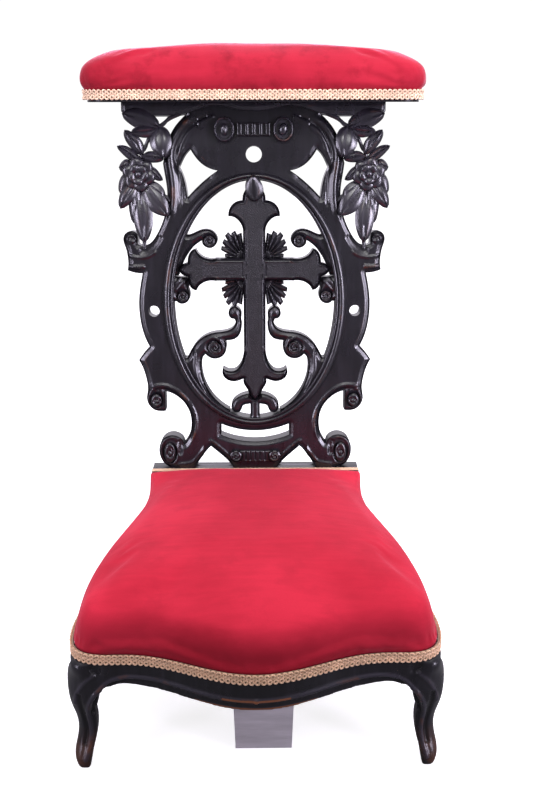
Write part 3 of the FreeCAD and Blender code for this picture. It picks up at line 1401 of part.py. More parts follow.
def rest_screw_shapes(extra):
    """Countersunk screws down through the rest board into the batten, along the back's lean."""
    screws = []
    radius = size("screw_radius") + extra
    batten_thick = BACK_TOP - batten_edge()[1][1]
    long = size("rest_board_thick") - size("screw_sunk") + 0.8 * batten_thick + extra
    top = BACK_TOP + size("rest_board_thick") - size("screw_sunk")
    for share in (-0.8, -0.57, 0.57, 0.8):
        at = Vector(share * size("batten_half"), BOARD / 2.0, top)
        shank = Part.makeCylinder(radius, long, at, Vector(0, 0, -1))
        head = Part.makeCone(2 * radius, radius, 2 * radius, at, Vector(0, 0, -1))
        screws.append(shank.fuse(head).removeSplitter())
    return Part.makeCompound(screws)


def rest_screws():
    return plain_feature("rest_screws", rest_screw_shapes(0.0), BACK_PLACE)


# ---------------------------------------------------------------------------------------------
# The arm rest
# ---------------------------------------------------------------------------------------------

def rounded_wire(inset, z, short=0.0):
    """The rest's outline drawn in by an inset, at a height, and shortened further at both ends."""
    half = size("rest_long") / 2.0 - inset - short
    near = REST_FRONT + inset
    far = REST_REAR - inset
    radius = max(size("rest_round") - inset + 0.6 * short, 3.0)
    radius = min(radius, (far - near) / 2.0 - 0.5)
    bend = radius * math.sqrt(0.5)
    edges = []
    corners = ((half, near, 1, -1), (half, far, 1, 1), (-half, far, -1, 1), (-half, near, -1, -1))
    spots = []
    for x, y, sx, sy in corners:
        centre = Vector(x - sx * radius, y - sy * radius, z)
        level = centre + Vector(0, sy * radius, 0)
        upright = centre + Vector(sx * radius, 0, 0)
        middle = centre + Vector(sx * bend, sy * bend, 0)
        first, last = (level, upright) if sx * sy < 0 else (upright, level)
        spots.append((first, middle, last))
    for index, (first, middle, last) in enumerate(spots):
        edges.append(Part.Arc(first, middle, last).toShape())
        edges.append(Part.LineSegment(last, spots[(index + 1) % 4][0]).toShape())
    return Part.Wire(edges)


BRAID = size("braid_thick")
COVER = size("cover_thick")
BOARD_INSET = BRAID + FIT + COVER + FIT


def rest_board():
    """The rest's wooden board, drilled for the screws."""
    face = Part.Face(rounded_wire(BOARD_INSET, REST_UNDER))
    slab = doc.addObject("Part::Feature", "rest_board_blank")
    slab.Shape = face.extrude(Vector(0, 0, size("rest_board_thick")))
    slab.Placement = SEAT_PLACE
    cut = doc.addObject("Part::Cut", "rest_board")
    cut.Base = slab
    cut.Tool = drill_tool("rest_board_drill", rest_screw_shapes(FIT / 3.0))
    return keep(cut, "rest_board")


def rest_dome(low, skin, edge):
    """The rest's padding from a height up: full sides, rolled over to a crown along its length."""
    high = size("rest_pad_high") - skin
    swell_out = -size("rest_swell")
    # height, inset, and how much further each end draws in
    shape = [(low, edge, 0.0), (REST_TOP + 0.03 * high, edge, 0.0),
             (REST_TOP + 0.1 * high, 0.5 * swell_out, 0.0), (REST_TOP + 0.22 * high, swell_out, 0.0),
             (REST_TOP + 0.36 * high, swell_out, 0.0), (REST_TOP + 0.5 * high, 0.7 * swell_out, 0.0),
             (REST_TOP + 0.61 * high, 0.0, 2.0), (REST_TOP + 0.7 * high, 6.0, 6.0),
             (REST_TOP + 0.79 * high, 13.0, 19.0), (REST_TOP + 0.85 * high, 20.0, 38.0),
             (REST_TOP + 0.905 * high, 29.0, 68.0), (REST_TOP + 0.955 * high, 40.0, 98.0),
             (REST_TOP + 0.985 * high, 52.0, 126.0), (REST_TOP + high, 66.0, 146.0)]
    return Part.makeLoft([rounded_wire(inset + skin, z, short) for z, inset, short in shape], True, True)


def rest_upholstery():
    """The rest's padding, and the velvet over it and down the board's edge."""
    edge = BRAID + FIT
    low = REST_UNDER + 3.0
    cover = rest_dome(low, 0.0, edge).cut(rest_dome(low - 1.0, COVER, edge))
    plain_feature("rest_cover", cover)
    plain_feature("rest_padding", rest_dome(REST_TOP + FIT, COVER + FIT, edge))


def rest_braid():
    """Braid round the rest, over the cover's lower edge."""
    low = REST_UNDER + 3.0
    outer = Part.Face(rounded_wire(0.0, low))
    inner = Part.Face(rounded_wire(BRAID, low))
    ring = outer.cut(inner)
    return plain_feature("rest_braid", ring.extrude(Vector(0, 0, size("braid_high"))))


# ---------------------------------------------------------------------------------------------
# Build, check and write
# ---------------------------------------------------------------------------------------------

def build():
    front_rail()
    inner_rail()
    centre_support()
    rear_cleat()
    corner_blocks()
    rear_rail()
    for side, word in SIDES:
        side_rail(side, word)
        front_leg(side, word)
        rear_leg(side, word)
        side_board(side, word)
    webbing()
    hessian()
    seat_upholstery()
    seat_braid()
    rear_braid()
    crest_board()
    base_board()
    top_batten()
    oval_moulding()
    cross_upright()
    cross_arm()
    sun_rays()
    scrolls()
    crest_ornaments()
    base_cartouche()
    for side, word in SIDES:
        flower_spray(side, word)
    back_dowels()
    rest_board()
    rest_screws()
    rest_upholstery()
    rest_braid()


def check_document():
    """Stops if any feature failed or any sub-part has no valid solid."""
    doc.recompute()
    failed = [item.Name for item in doc.Objects if "Invalid" in item.State or "Error" in item.State]
    for item in nodes:
        shape = item.Shape
        if shape.isNull() or not shape.isValid() or not shape.Solids:
            failed.append(item.Label)
    if failed:
        raise RuntimeError("no valid shape: " + ", ".join(failed))


def write_parts():
    os.makedirs("parts", exist_ok=True)
    for item in nodes:
        item.Shape.exportStep(os.path.join("parts", item.Label + ".step"))
        box = item.Shape.BoundBox
        print("%-22s solids %2d volume %10.0f  x %7.1f %7.1f  y %7.1f %7.1f  z %6.1f %6.1f" % (
            item.Label, len(item.Shape.Solids), item.Shape.Volume,
            box.XMin, box.XMax, box.YMin, box.YMax, box.ZMin, box.ZMax))


build()
check_document()
write_parts()
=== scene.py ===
"""Finishes an ebonised prayer chair: a carved back with an oval and a cross, and crimson velvet."""

import math

import bmesh
import bpy
import numpy as np
from bpy.props import FloatProperty, FloatVectorProperty, PointerProperty
from mathutils import Matrix, Vector, noise
from mathutils.bvhtree import BVHTree
from mathutils.geometry import delaunay_2d_cdt


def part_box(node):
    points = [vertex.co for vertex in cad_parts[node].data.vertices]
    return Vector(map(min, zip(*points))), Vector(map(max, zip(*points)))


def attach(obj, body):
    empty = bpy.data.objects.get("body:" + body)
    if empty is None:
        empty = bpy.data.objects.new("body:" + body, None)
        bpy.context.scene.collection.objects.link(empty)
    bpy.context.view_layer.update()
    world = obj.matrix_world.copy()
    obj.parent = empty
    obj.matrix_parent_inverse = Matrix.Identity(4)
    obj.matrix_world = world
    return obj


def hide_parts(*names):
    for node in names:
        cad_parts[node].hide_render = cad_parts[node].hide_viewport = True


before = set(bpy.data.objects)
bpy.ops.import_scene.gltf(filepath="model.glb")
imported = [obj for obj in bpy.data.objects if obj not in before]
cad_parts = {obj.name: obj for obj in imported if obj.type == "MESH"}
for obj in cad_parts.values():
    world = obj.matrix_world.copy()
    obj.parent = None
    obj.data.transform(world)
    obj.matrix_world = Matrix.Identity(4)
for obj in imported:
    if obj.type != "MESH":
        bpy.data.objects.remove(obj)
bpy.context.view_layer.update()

bl_info = {
    "name": "Carved Prayer Chair",
    "version": (1, 0, 0),
    "blender": (4, 5, 0),
    "location": "View3D > Sidebar > Prayer Chair",
    "description": "Carves, polishes and upholsters a prayer chair on its joiner's frame",
    "category": "Object",
}

MM = 0.001
LEDGE_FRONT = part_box("rear_leg_left")[0].y
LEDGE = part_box("rear_leg_left")[1].z
# The back leans five degrees from the ledge: across, into the wood and up the boards, in mm.
TILT = Matrix.Rotation(math.radians(-5.0), 4, "X")
BACK = Matrix.Translation((0.0, LEDGE_FRONT + 0.010, LEDGE)) @ TILT @ Matrix.Scale(MM, 4)
OVAL_WIDE, OVAL_HIGH, OVAL_UP = 132.0, 194.5, 284.5
RING_WIDE, RING_CROWN = 19.0, 12.5
SEAM = 88.0
SIDES = ((-1, "left"), (1, "right"))
UP = Vector((0.0, 0.0, 1.0))


# ---------------------------------------------------------------------------------------------
# Settings
# ---------------------------------------------------------------------------------------------

class WoodFinish(bpy.types.PropertyGroup):
    ebony: FloatVectorProperty(
        name="Ebony stain", description="Colour of the black stain", subtype="COLOR",
        size=3, min=0.0, max=1.0, default=(0.0070, 0.0062, 0.0085))
    rubbed: FloatVectorProperty(
        name="Rubbed wood", description="Colour where handling has worn the stain through",
        subtype="COLOR", size=3, min=0.0, max=1.0, default=(0.115, 0.042, 0.020))
    gloss: FloatProperty(
        name="Roughness", description="Roughness of the wax polish", subtype="FACTOR",
        min=0.05, max=1.0, default=0.26)
    corner: FloatProperty(
        name="Corner rounding", description="Rounding of plain corners", unit="LENGTH",
        min=0.0002, max=0.004, default=0.0011)


class CarvingSizes(bpy.types.PropertyGroup):
    spacing: FloatProperty(
        name="Cut spacing", description="Distance between carved points, in millimetres",
        min=1.0, max=5.0, default=1.9)
    relief: FloatProperty(
        name="Relief", description="Strength of the ridges and hollows", subtype="FACTOR",
        min=0.0, max=2.0, default=1.0)


class Upholstery(bpy.types.PropertyGroup):
    velvet: FloatVectorProperty(
        name="Velvet", description="Colour of the velvet's pile", subtype="COLOR",
        size=3, min=0.0, max=1.0, default=(0.585, 0.0235, 0.050))
    # Also the colour the velvet is darkened towards low on the seat, as painted shade.
    deep: FloatVectorProperty(
        name="Velvet in shade", description="Colour where the pile lies away", subtype="COLOR",
        size=3, min=0.0, max=1.0, default=(0.43, 0.0150, 0.033))
    braid: FloatVectorProperty(
        name="Braid", description="Colour of the gimp braid", subtype="COLOR",
        size=3, min=0.0, max=1.0, default=(0.76, 0.48, 0.30))
    swell: FloatProperty(
        name="Swell", description="How far the stuffing may push the velvet out", unit="LENGTH",
        min=0.0, max=0.02, default=0.005)
    pitch: FloatProperty(
        name="Braid pitch", description="Length of one loop of the braid", unit="LENGTH",
        min=0.003, max=0.02, default=0.0073)


class Studio(bpy.types.PropertyGroup):
    paper: FloatVectorProperty(
        name="Paper", description="Colour of the floor and backdrop", subtype="COLOR",
        size=3, min=0.0, max=1.0, default=(0.90, 0.90, 0.91))
    power: FloatProperty(
        name="Light", description="Power of the soft boxes, as a share of the usual",
        subtype="FACTOR", min=0.0, max=4.0, default=1.0)
    glow: FloatProperty(
        name="Paper glow", description="How far the paper is washed out to white",
        min=0.0, max=2.0, default=0.70)
    front: FloatProperty(
        name="Room in front", description="Brightness of the room before the chair",
        min=0.0, max=2.0, default=0.21)
    behind: FloatProperty(
        name="Room behind", description="Brightness of the backdrop, as the polish mirrors it",
        min=0.0, max=4.0, default=1.0)
    above: FloatProperty(
        name="Room above", description="Brightness of the ceiling, as the polish mirrors it",
        min=0.0, max=4.0, default=0.8)


def wood():
    return bpy.context.scene.prayer_chair_wood


def cuts():
    return bpy.context.scene.prayer_chair_cuts


def cloth_sizes():
    return bpy.context.scene.prayer_chair_cloth


def studio():
    return bpy.context.scene.prayer_chair_studio


# ---------------------------------------------------------------------------------------------
# Bench tools
# ---------------------------------------------------------------------------------------------

def clear_choice():
    """Goes back to object mode with nothing selected."""
    if bpy.context.mode != "OBJECT":
        bpy.ops.object.mode_set(mode="OBJECT")
    bpy.ops.object.select_all(action="DESELECT")


def take(*pieces):
    """Selects only these pieces."""
    clear_choice()
    for piece in pieces:
        piece.select_set(True)
    bpy.context.view_layer.objects.active = pieces[0]


def edit_all(piece):
    """Opens a piece for editing with all of it selected."""
    take(piece)
    bpy.ops.object.mode_set(mode="EDIT")
    bpy.ops.mesh.select_all(action="SELECT")


def adjust(thing, **values):
    """Sets several of a thing's own values."""
    for name, value in values.items():
        setattr(thing, name, value)
    return thing


def put_in(name, data):
    """A new object of the scene."""
    thing = bpy.data.objects.new(name, data)
    bpy.context.scene.collection.objects.link(thing)
    return thing


def apply_tool(piece, kind, **values):
    """Gives a piece a modifier with these settings and applies it."""
    tool = adjust(piece.modifiers.new(kind.title(), kind), **values)
    take(piece)
    bpy.ops.object.modifier_apply(modifier=tool.name)


def clamp(value):
    """Keeps a share between none and all."""
    return min(1.0, max(0.0, value))


def open_shape(piece):
    shape = bmesh.new()
    shape.from_mesh(piece.data)
    return shape


def close_shape(shape, piece):
    shape.to_mesh(piece.data)
    shape.free()
    piece.data.update()


def node_copy(node, name):
    """A free copy of a joiner's part, with its triangles sewn together."""
    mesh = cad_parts[node].data.copy()
    mesh.name = name
    mesh.materials.clear()
    piece = put_in(name, mesh)
    shape = open_shape(piece)
    bmesh.ops.remove_doubles(shape, verts=shape.verts, dist=2e-6)
    close_shape(shape, piece)
    return piece


def new_piece(name, shape):
    mesh = bpy.data.meshes.new(name)
    shape.to_mesh(mesh)
    shape.free()
    return put_in(name, mesh)


def hand_over(piece, finish, nodes=(), angle=35.0):
    """Finishes a piece: its smooth shading, material and the parts it stands for."""
    take(piece)
    bpy.ops.object.shade_smooth_by_angle(angle=math.radians(angle))
    piece.data.materials.clear()
    piece.data.materials.append(finish_of(finish))
    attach(piece, "root")
    if nodes:
        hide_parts(*nodes)
    clear_choice()
    return piece


def smooth_line(points, step=2.0):
    """A smooth line through a few set points."""
    spots = [Vector(p) for p in points]
    ends = [spots[0] * 2 - spots[1]] + spots + [spots[-1] * 2 - spots[-2]]
    line = []
    for k in range(1, len(ends) - 2):
        a, b, c, d = ends[k - 1:k + 3]
        parts = max(1, int((c - b).length / step))
        for n in range(parts):
            t = n / parts
            line.append(0.5 * (2 * b + (c - a) * t + (2 * a - 5 * b + 4 * c - d) * t ** 2
                               + (3 * b - a - 3 * c + d) * t ** 3))
    line.append(spots[-1])
    return line


def spiral(centre, start, end, first, turns):
    """A volute's line, from its outer turn to its eye; angles in degrees."""
    count = int(14 * abs(turns)) + 1
    line = []
    for k in range(count + 1):
        share = k / count
        angle = math.radians(first + 360.0 * turns * share)
        radius = start + (end - start) * share ** 0.8
        line.append((centre[0] + radius * math.cos(angle), centre[1] + radius * math.sin(angle)))
    return line


# ---------------------------------------------------------------------------------------------
# Carving
# ---------------------------------------------------------------------------------------------

def gap_to(points, starts, ends):
    """Each point's distance to the nearest of many short lines, and where along them it lies."""
    along = ends - starts
    long = np.maximum((along ** 2).sum(1), 1e-9)
    gaps = np.empty(len(points))
    place = np.empty(len(points))
    for low in range(0, len(points), 1500):
        rest = points[low:low + 1500, None, :] - starts[None]
        share = np.clip((rest * along).sum(2) / long, 0.0, 1.0)
        off = rest - share[..., None] * along
        square = (off ** 2).sum(2)
        best = square.argmin(1)
        rows = np.arange(len(best))
        gaps[low:low + 1500] = np.sqrt(square[rows, best])
        place[low:low + 1500] = (best + share[rows, best]) / len(starts)
    return gaps, place


def within(points, starts, ends):
    """Which points lie inside an outline."""
    rise = ends[:, 1] - starts[:, 1]
    rise = np.where(np.abs(rise) < 1e-9, 1e-9, rise)
    found = np.zeros(len(points), bool)
    for low in range(0, len(points), 1500):
        up = points[low:low + 1500, 1][:, None]
        side = points[low:low + 1500, 0][:, None]
        spans = (starts[:, 1] > up) != (ends[:, 1] > up)
        cross = starts[:, 0] + (up - starts[:, 1]) * (ends[:, 0] - starts[:, 0]) / rise
        found[low:low + 1500] = (spans & (side < cross)).sum(1) % 2 == 1
    return found


def thin_out(points, least):
    """Drops points that crowd an earlier one."""
    kept = {}
    for point in points:
        column, row = (int(value // least) for value in point)
        around = [(column + i, row + j) for i in (-1, 0, 1) for j in (-1, 0, 1)]
        near = [kept[key] for key in around if key in kept]
        if all((n[0] - point[0]) ** 2 + (n[1] - point[1]) ** 2 > least ** 2 for n in near):
            kept[column, row] = point
    return list(kept.values())


# Across, up and reach of the round holes and the sharp tips whose edges aren't carved.
PLAIN_SPOTS = ((164.5, 271.0, 11.0), (0.0, 519.0, 14.0), (104.0, 444.0, 8.0))
CREST_TOP = 576.5
# The pointed ends of the two openings under the crest, across and up.
POINTED_END = (57.0, 494.0)


def left_plain(across, up):
    """True on glue seams, on the oval's wall and along the ledge, where no edge is carved."""
    on_oval = abs(math.hypot(across / OVAL_WIDE, (up - OVAL_UP) / OVAL_HIGH) - 1.0) < 0.012
    on_seam = abs(abs(across) - SEAM) < 0.3 or up < 0.4 or up > CREST_TOP
    in_spot = any(math.hypot(abs(across) - x, up - z) < reach for x, z, reach in PLAIN_SPOTS)
    return on_oval or on_seam or in_spot


def run_out(places):
    """Fades the carved edge out towards the two pointed ends."""
    far = np.hypot(np.abs(places[:, 0]) - POINTED_END[0], places[:, 1] - POINTED_END[1])
    return np.clip((far - 3.0) / 15.0, 0.0, 1.0)


def front_of(shape, front):
    """The flat faces at a depth that look to the front."""
    return {f for f in shape.faces
            if f.normal.y < -0.995 and abs(f.calc_center_median().y - front) < 0.15}


def rim_of(shape, flat):
    """The edges round a flat front."""
    return [e for e in shape.edges if sum(f in flat for f in e.link_faces) == 1]


def lay_points(outline, starts, ends, worked, edge, spacing):
    """Points to carve by: rows along the edge's creases, and an even grid between them."""
    middles = (starts + ends) / 2.0
    turned = (ends - starts)[:, ::-1] * (1.0, -1.0)
    turned /= np.maximum(np.linalg.norm(turned, axis=1), 1e-9)[:, None]
    creases = np.concatenate([middles[worked] + way * turned[worked] * reach
                              for reach, _ in edge[1:] for way in (-1, 1)])
    if len(creases):
        reaches = np.repeat([reach for reach, _ in edge[1:]], 2 * int(worked.sum()))
        gaps, _ = gap_to(creases, starts[worked], ends[worked])
        free, _ = gap_to(creases, starts, ends)
        creases = creases[(gaps > 0.97 * reaches) & (free > 0.4) & within(creases, starts, ends)]
        creases = np.array(thin_out(creases, 0.55 * spacing)).reshape(-1, 2)
    low, high = outline.min(0), outline.max(0)
    row_step = 0.866 * spacing
    grid = np.array([(x + (row % 2) * spacing / 2.0, z)
                     for row, z in enumerate(np.arange(low[1], high[1], row_step))
                     for x in np.arange(low[0], high[0], spacing)])
    free, _ = gap_to(grid, starts, ends)
    grid = grid[(free > 0.5 * spacing) & within(grid, starts, ends)]
    if len(creases):
        crowd, _ = gap_to(grid, creases, creases)
        grid = grid[crowd > 0.5 * spacing]
    return np.concatenate([creases, grid])


def raise_lines(places, lines, fade=0.0):
    """How far rounded ridges lift each place; with a fade, each runs out over that share of it."""
    raised = np.zeros(len(places))
    for line, half, height in lines:
        path = np.array([tuple(p) for p in smooth_line(line)])
        gaps, along = gap_to(places, path[:-1], path[1:])
        lift = height * np.clip(1.0 - (gaps / half) ** 2, 0.0, 1.0) ** 2
        if fade:
            lift *= np.clip(np.minimum(along, 1.0 - along) / fade, 0.0, 1.0)
        raised += lift
    return raised


def relief(places, edge, ridges, starts, ends, worked):
    """What the carving does at each place: its depth, its wear, and where the ground lies flat."""
    gaps, _ = gap_to(places, starts[worked], ends[worked])
    raised = cuts().relief * raise_lines(places, ridges, 0.10)
    depth = np.interp(gaps, *zip(*edge)) * run_out(places) - raised
    crease = np.exp(-np.abs(gaps - edge[-1][0]) / 1.3)
    wear_and_sheen = (np.clip(0.6 * crease + np.clip(raised, 0.0, 3.0) / 4.0, 0.0, 1.0)
            + np.clip(raised, -4.0, 0.0) / 4.0)
    far, _ = gap_to(places, starts, ends)
    ground = np.clip(np.minimum(gaps - 6.0, far - 1.8) / 1.2, 0.0, 1.0)
    return depth, wear_and_sheen, ground


def carve(piece, front, edge, ridges=(), plain=left_plain, spacing=None):
    """Cuts relief into the flat front that lies at a depth.

    The edge is a list of distances and depths, a ridge is a line, its half width and its height,
    and plain tells where the edge is left as it is.
    """
    spacing = spacing or cuts().spacing
    shape = open_shape(piece)
    shape.transform(BACK.inverted())
    shape.normal_update()
    for line in rim_of(shape, front_of(shape, front)):
        parts = int(line.calc_length() / spacing)
        if parts:
            bmesh.ops.subdivide_edges(shape, edges=[line], cuts=parts)
    shape.normal_update()
    flat = front_of(shape, front)
    rim = rim_of(shape, flat)
    corners = list(dict.fromkeys(v for e in rim for v in e.verts))
    number = {v: i for i, v in enumerate(corners)}
    outline = np.array([(v.co.x, v.co.z) for v in corners])
    sides = [tuple(number[v] for v in e.verts) for e in rim]
    starts, ends = (outline[[side[k] for side in sides]] for k in (0, 1))
    worked = np.array([not plain(*spot) for spot in (starts + ends) / 2.0])
    inner = lay_points(outline, starts, ends, worked, edge, spacing)
    made, _, faces, origins, _, _ = delaunay_2d_cdt(
        [Vector(p) for p in np.concatenate([outline, inner])], sides, [], 0, 1e-5)
    faces = np.array(faces)
    places = np.array([tuple(p) for p in made])
    faces = faces[within(places[faces].mean(1), starts, ends)]
    depth, wear_and_sheen, ground = relief(places, edge, ridges, starts, ends, worked)

    inside = [e for e in shape.edges if e.link_faces and all(f in flat for f in e.link_faces)]
    bmesh.ops.delete(shape, geom=list(flat), context="FACES_ONLY")
    bmesh.ops.delete(shape, geom=[e for e in inside if e.is_valid], context="EDGES")
    bmesh.ops.delete(shape, geom=[v for v in shape.verts if not v.link_edges], context="VERTS")
    layers = shape.verts.layers.float
    worn_layer = layers.get("wear_and_sheen") or layers.new("wear_and_sheen")
    ground_layer = layers.get("ground") or layers.new("ground")
    verts = []
    for k, (across, up) in enumerate(places):
        first = min(origins[k]) if origins[k] else len(outline)
        if first < len(outline) and corners[first].is_valid:
            vert = corners[first]
            vert.co.y = front + depth[k]
        else:
            vert = shape.verts.new((across, front + depth[k], up))
        vert[worn_layer] = wear_and_sheen[k]
        vert[ground_layer] = ground[k]
        verts.append(vert)
    for a, b, c in faces:
        turn = np.cross(places[b] - places[a], places[c] - places[a])
        order = [verts[i] for i in ((a, b, c) if turn > 0 else (a, c, b))]
        if abs(turn) > 1e-9 and not shape.faces.get(order):
            shape.faces.new(order)
    bmesh.ops.delete(shape, geom=[v for v in shape.verts if not v.link_faces], context="VERTS")
    shape.normal_update()
    for line in shape.edges:
        if sum(f.normal.y > 0.9995 for f in line.link_faces) == 1:
            line.smooth = False
    shape.transform(BACK)
    close_shape(shape, piece)
    return piece


def on_side(side, ridges):
    """Lines drawn for the right half, moved to a half."""
    return [([(side * x, z) for x, z in line], half, height) for line, half, height in ridges]


def on_both(ridges):
    """The same lines on both halves."""
    return on_side(1, ridges) + on_side(-1, ridges)


# ---------------------------------------------------------------------------------------------
# Materials
# ---------------------------------------------------------------------------------------------

def tinted(colour, share):
    """A lighter or darker share of a colour."""
    return tuple(share * c for c in colour)


def fill(node, **values):
    """Sets a node's own sockets; an underscore stands for a space."""
    for name, value in values.items():
        node.inputs[name.replace("_", " ")].default_value = value
    return node


class Finish:
    """A new procedural material with its main shader at hand."""

    def __init__(self, name):
        self.material = bpy.data.materials.new(name)
        self.material.use_nodes = True
        self.tree = self.material.node_tree
        self.shader = self.tree.nodes["Principled BSDF"]
        self.place = self.add("ShaderNodeTexCoord").outputs["Object"]

    def add(self, kind, **values):
        return adjust(self.tree.nodes.new(kind), **values)

    def join(self, output, target):
        self.tree.links.new(output, target)

    def paint(self, **outputs):
        """Joins outputs to the shader's sockets."""
        for name, output in outputs.items():
            self.join(output, self.shader.inputs[name.replace("_", " ")])

    def pattern(self, kind, output, values, vector=None, **sockets):
        """A pattern that stays with the piece, or follows a vector if one is given."""
        node = fill(self.add(kind, **values), **sockets)
        self.join(vector or self.place, node.inputs["Vector"])
        return node.outputs[output]

    def mapped(self, stretch, turn=(0.0, 0.0, 0.0)):
        return self.pattern("ShaderNodeMapping", "Vector", {}, Scale=stretch, Rotation=turn)

    def clouds(self, scale, detail=3.0, roughness=0.5, vector=None):
        return self.pattern("ShaderNodeTexNoise", "Fac", {}, vector,
                            Scale=scale, Detail=detail, Roughness=roughness)

    def stripes(self, way, scale, distortion):
        bands = {"wave_type": "BANDS", "bands_direction": way}
        return self.pattern("ShaderNodeTexWave", "Fac", bands, Scale=scale, Distortion=distortion)

    def height(self):
        return self.pattern("ShaderNodeSeparateXYZ", "Z", {})

    def marked(self, name):
        """A value that the carving or sewing left on the mesh."""
        return self.add("ShaderNodeAttribute", attribute_name=name).outputs["Fac"]

    def ramp(self, factor, *stops):
        node = self.add("ShaderNodeValToRGB")
        while len(node.color_ramp.elements) < len(stops):
            node.color_ramp.elements.new(0.5)
        for element, (place, colour) in zip(node.color_ramp.elements, stops):
            element.position = place
            element.color = (*colour, 1.0) if len(colour) == 3 else colour
        self.join(factor, node.inputs["Fac"])
        return node.outputs["Color"]

    def level(self, factor, low, high, new_low=0.0, new_high=1.0):
        """Stretches a value's range, and cuts it off at both ends."""
        node = fill(self.add("ShaderNodeMapRange"), From_Min=low, From_Max=high, To_Min=new_low,
                    To_Max=new_high)
        self.join(factor, node.inputs["Value"])
        return node.outputs["Result"]

    def sum(self, kind, a, b):
        node = self.add("ShaderNodeMath", operation=kind, use_clamp=True)
        for socket, value in zip(node.inputs, (a, b)):
            if isinstance(value, float):
                socket.default_value = value
            else:
                self.join(value, socket)
        return node.outputs["Value"]

    def plus(self, a, b):
        return self.sum("ADD", a, b)

    def times(self, a, b):
        return self.sum("MULTIPLY", a, b)

    def blend(self, factor, first, second):
        node = self.add("ShaderNodeMix", data_type="RGBA")
        self.join(factor, node.inputs["Factor"])
        for socket, value in ((node.inputs["A"], first), (node.inputs["B"], second)):
            if isinstance(value, tuple):
                socket.default_value = (*value, 1.0)
            else:
                self.join(value, socket)
        return node.outputs["Result"]

    def bump(self, height, strength, distance, under=None):
        node = fill(self.add("ShaderNodeBump"), Strength=strength, Distance=distance)
        self.join(height, node.inputs["Height"])
        if under is not None:
            self.join(under, node.inputs["Normal"])
        self.paint(Normal=node.outputs["Normal"])
        return node.outputs["Normal"]


def ebony(name="ebonised_wood_polish", punched=False, rubbed_low_and_sheen=False, shine=0.55, pale=1.0):
    """Black stained and waxed wood; rubs through along ridges, darker in the hollows. For the legs
    and rails it also rubs through at the feet, and its stain is painted paler along beads and lit
    arrises: a painted highlight.
    """
    look = Finish(name)
    stain, rubbed = tinted(wood().ebony, pale), tuple(wood().rubbed)
    grain = look.clouds(9.0, 6.0, 0.62, look.mapped((14.0, 14.0, 1.1)))
    tone = look.ramp(grain, (0.32, tinted(stain, 0.62)), (0.55, stain), (0.78, tinted(stain, 1.9)))
    wear_and_sheen = look.marked("wear_and_sheen")
    patches = look.clouds(26.0, 4.0, 0.6)
    rub = look.times(look.level(wear_and_sheen, 0.30, 0.95), look.level(patches, 0.55, 0.72))
    rub = look.plus(look.times(rub, 0.75), look.level(wear_and_sheen, 1.1, 1.5, 0.0, 0.85))
    if rubbed_low_and_sheen:
        foot = look.times(look.level(look.height(), 0.055, 0.0), look.level(patches, 0.36, 0.62))
        tone = look.blend(look.times(foot, 0.8), tone, rubbed)
        # Painted highlight: the stain is painted paler along bead crests and lit arrises.
        tone = look.blend(look.level(wear_and_sheen, 0.12, 0.80, 0.0, 0.55), tone, tinted(stain, 4.5))
    tone = look.blend(rub, tone, rubbed)
    if rubbed_low_and_sheen:
        tone = look.blend(look.level(wear_and_sheen, 1.2, 1.6, 0.0, 0.9), tone, tinted(rubbed, 1.8))
    hollow = look.times(look.level(wear_and_sheen, -0.05, -0.75), 0.7)
    tone = look.blend(hollow, tone, tinted(stain, 0.4))
    smear, gloss = look.clouds(30.0, 2.0, 0.5), wood().gloss
    if punched:
        dots = look.pattern("ShaderNodeTexVoronoi", "Distance", {"feature": "F1"}, Scale=560.0)
        ground = look.marked("ground")
        look.bump(look.times(look.level(dots, 0.0, 0.55), ground), 0.8, 0.0005)
        rough = look.plus(look.level(smear, 0.3, 0.7, gloss - 0.04, gloss + 0.06),
                          look.times(ground, 0.24))
    else:
        pores = look.clouds(60.0, 5.0, 0.6, look.mapped((10.0, 10.0, 0.8)))
        look.bump(look.clouds(45.0, 3.0), 0.06, 0.0010, look.bump(pores, 0.10, 0.0005))
        rough = look.level(smear, 0.3, 0.7, gloss, gloss + 0.05)
    look.paint(Base_Color=tone, Roughness=rough)
    fill(look.shader, IOR=1.5, Specular_IOR_Level=shine)
    return look.material


def velvet(name="crimson_velvet", shade=1.0, blotch=0.30, sheen=0.40, blush=(1.0, 0.31, 0.40, 1.0)):
    """Crimson velvet: soft nap patches, sheen at the edges and a short pile, with painted shade
    over its lower part; a shade factor under one makes a darker copy, as painted shade.
    """
    look = Finish(name)
    bright, deep = tinted(cloth_sizes().velvet, shade), tinted(cloth_sizes().deep, shade)
    between = tuple(0.5 * (a + b) for a, b in zip(bright, deep))
    nap = look.clouds(6.0, 4.0, 0.55)
    brushed = look.clouds(42.0, 4.0, 0.6, look.mapped((0.35, 2.4, 2.4), (0.0, 0.0, 0.12)))
    both = look.plus(look.times(nap, 0.76), look.times(brushed, 0.24))
    tone = look.ramp(both, (0.39, deep), (0.5, between), (0.60, bright))
    pressed = look.level(look.clouds(19.0, 5.0, 0.62), 0.52, 0.68, 0.0, blotch)
    tone = look.blend(pressed, tone, tinted(deep, 0.7))
    # Painted shade: the velvet is darkened below about a quarter of a metre up, on the seat's lower
    # front.
    painted_low_shade = look.plus(look.height(), look.times(nap, 0.03))
    tone = look.blend(look.level(painted_low_shade, 0.245, 0.208, 0.0, 0.48), tone, tinted(deep, 0.42))
    pile = look.clouds(900.0, 2.0, 0.7)
    tone = look.blend(look.level(pile, 0.25, 0.75, 0.0, 0.22), tone, tinted(bright, 0.45))
    look.paint(Base_Color=tone)
    look.bump(pile, 0.35, 0.0006, look.bump(brushed, 0.05, 0.0015))
    fill(look.shader, Roughness=0.95, Sheen_Weight=sheen, Sheen_Roughness=0.34, Sheen_Tint=blush,
         Specular_IOR_Level=0.10)
    return look.material


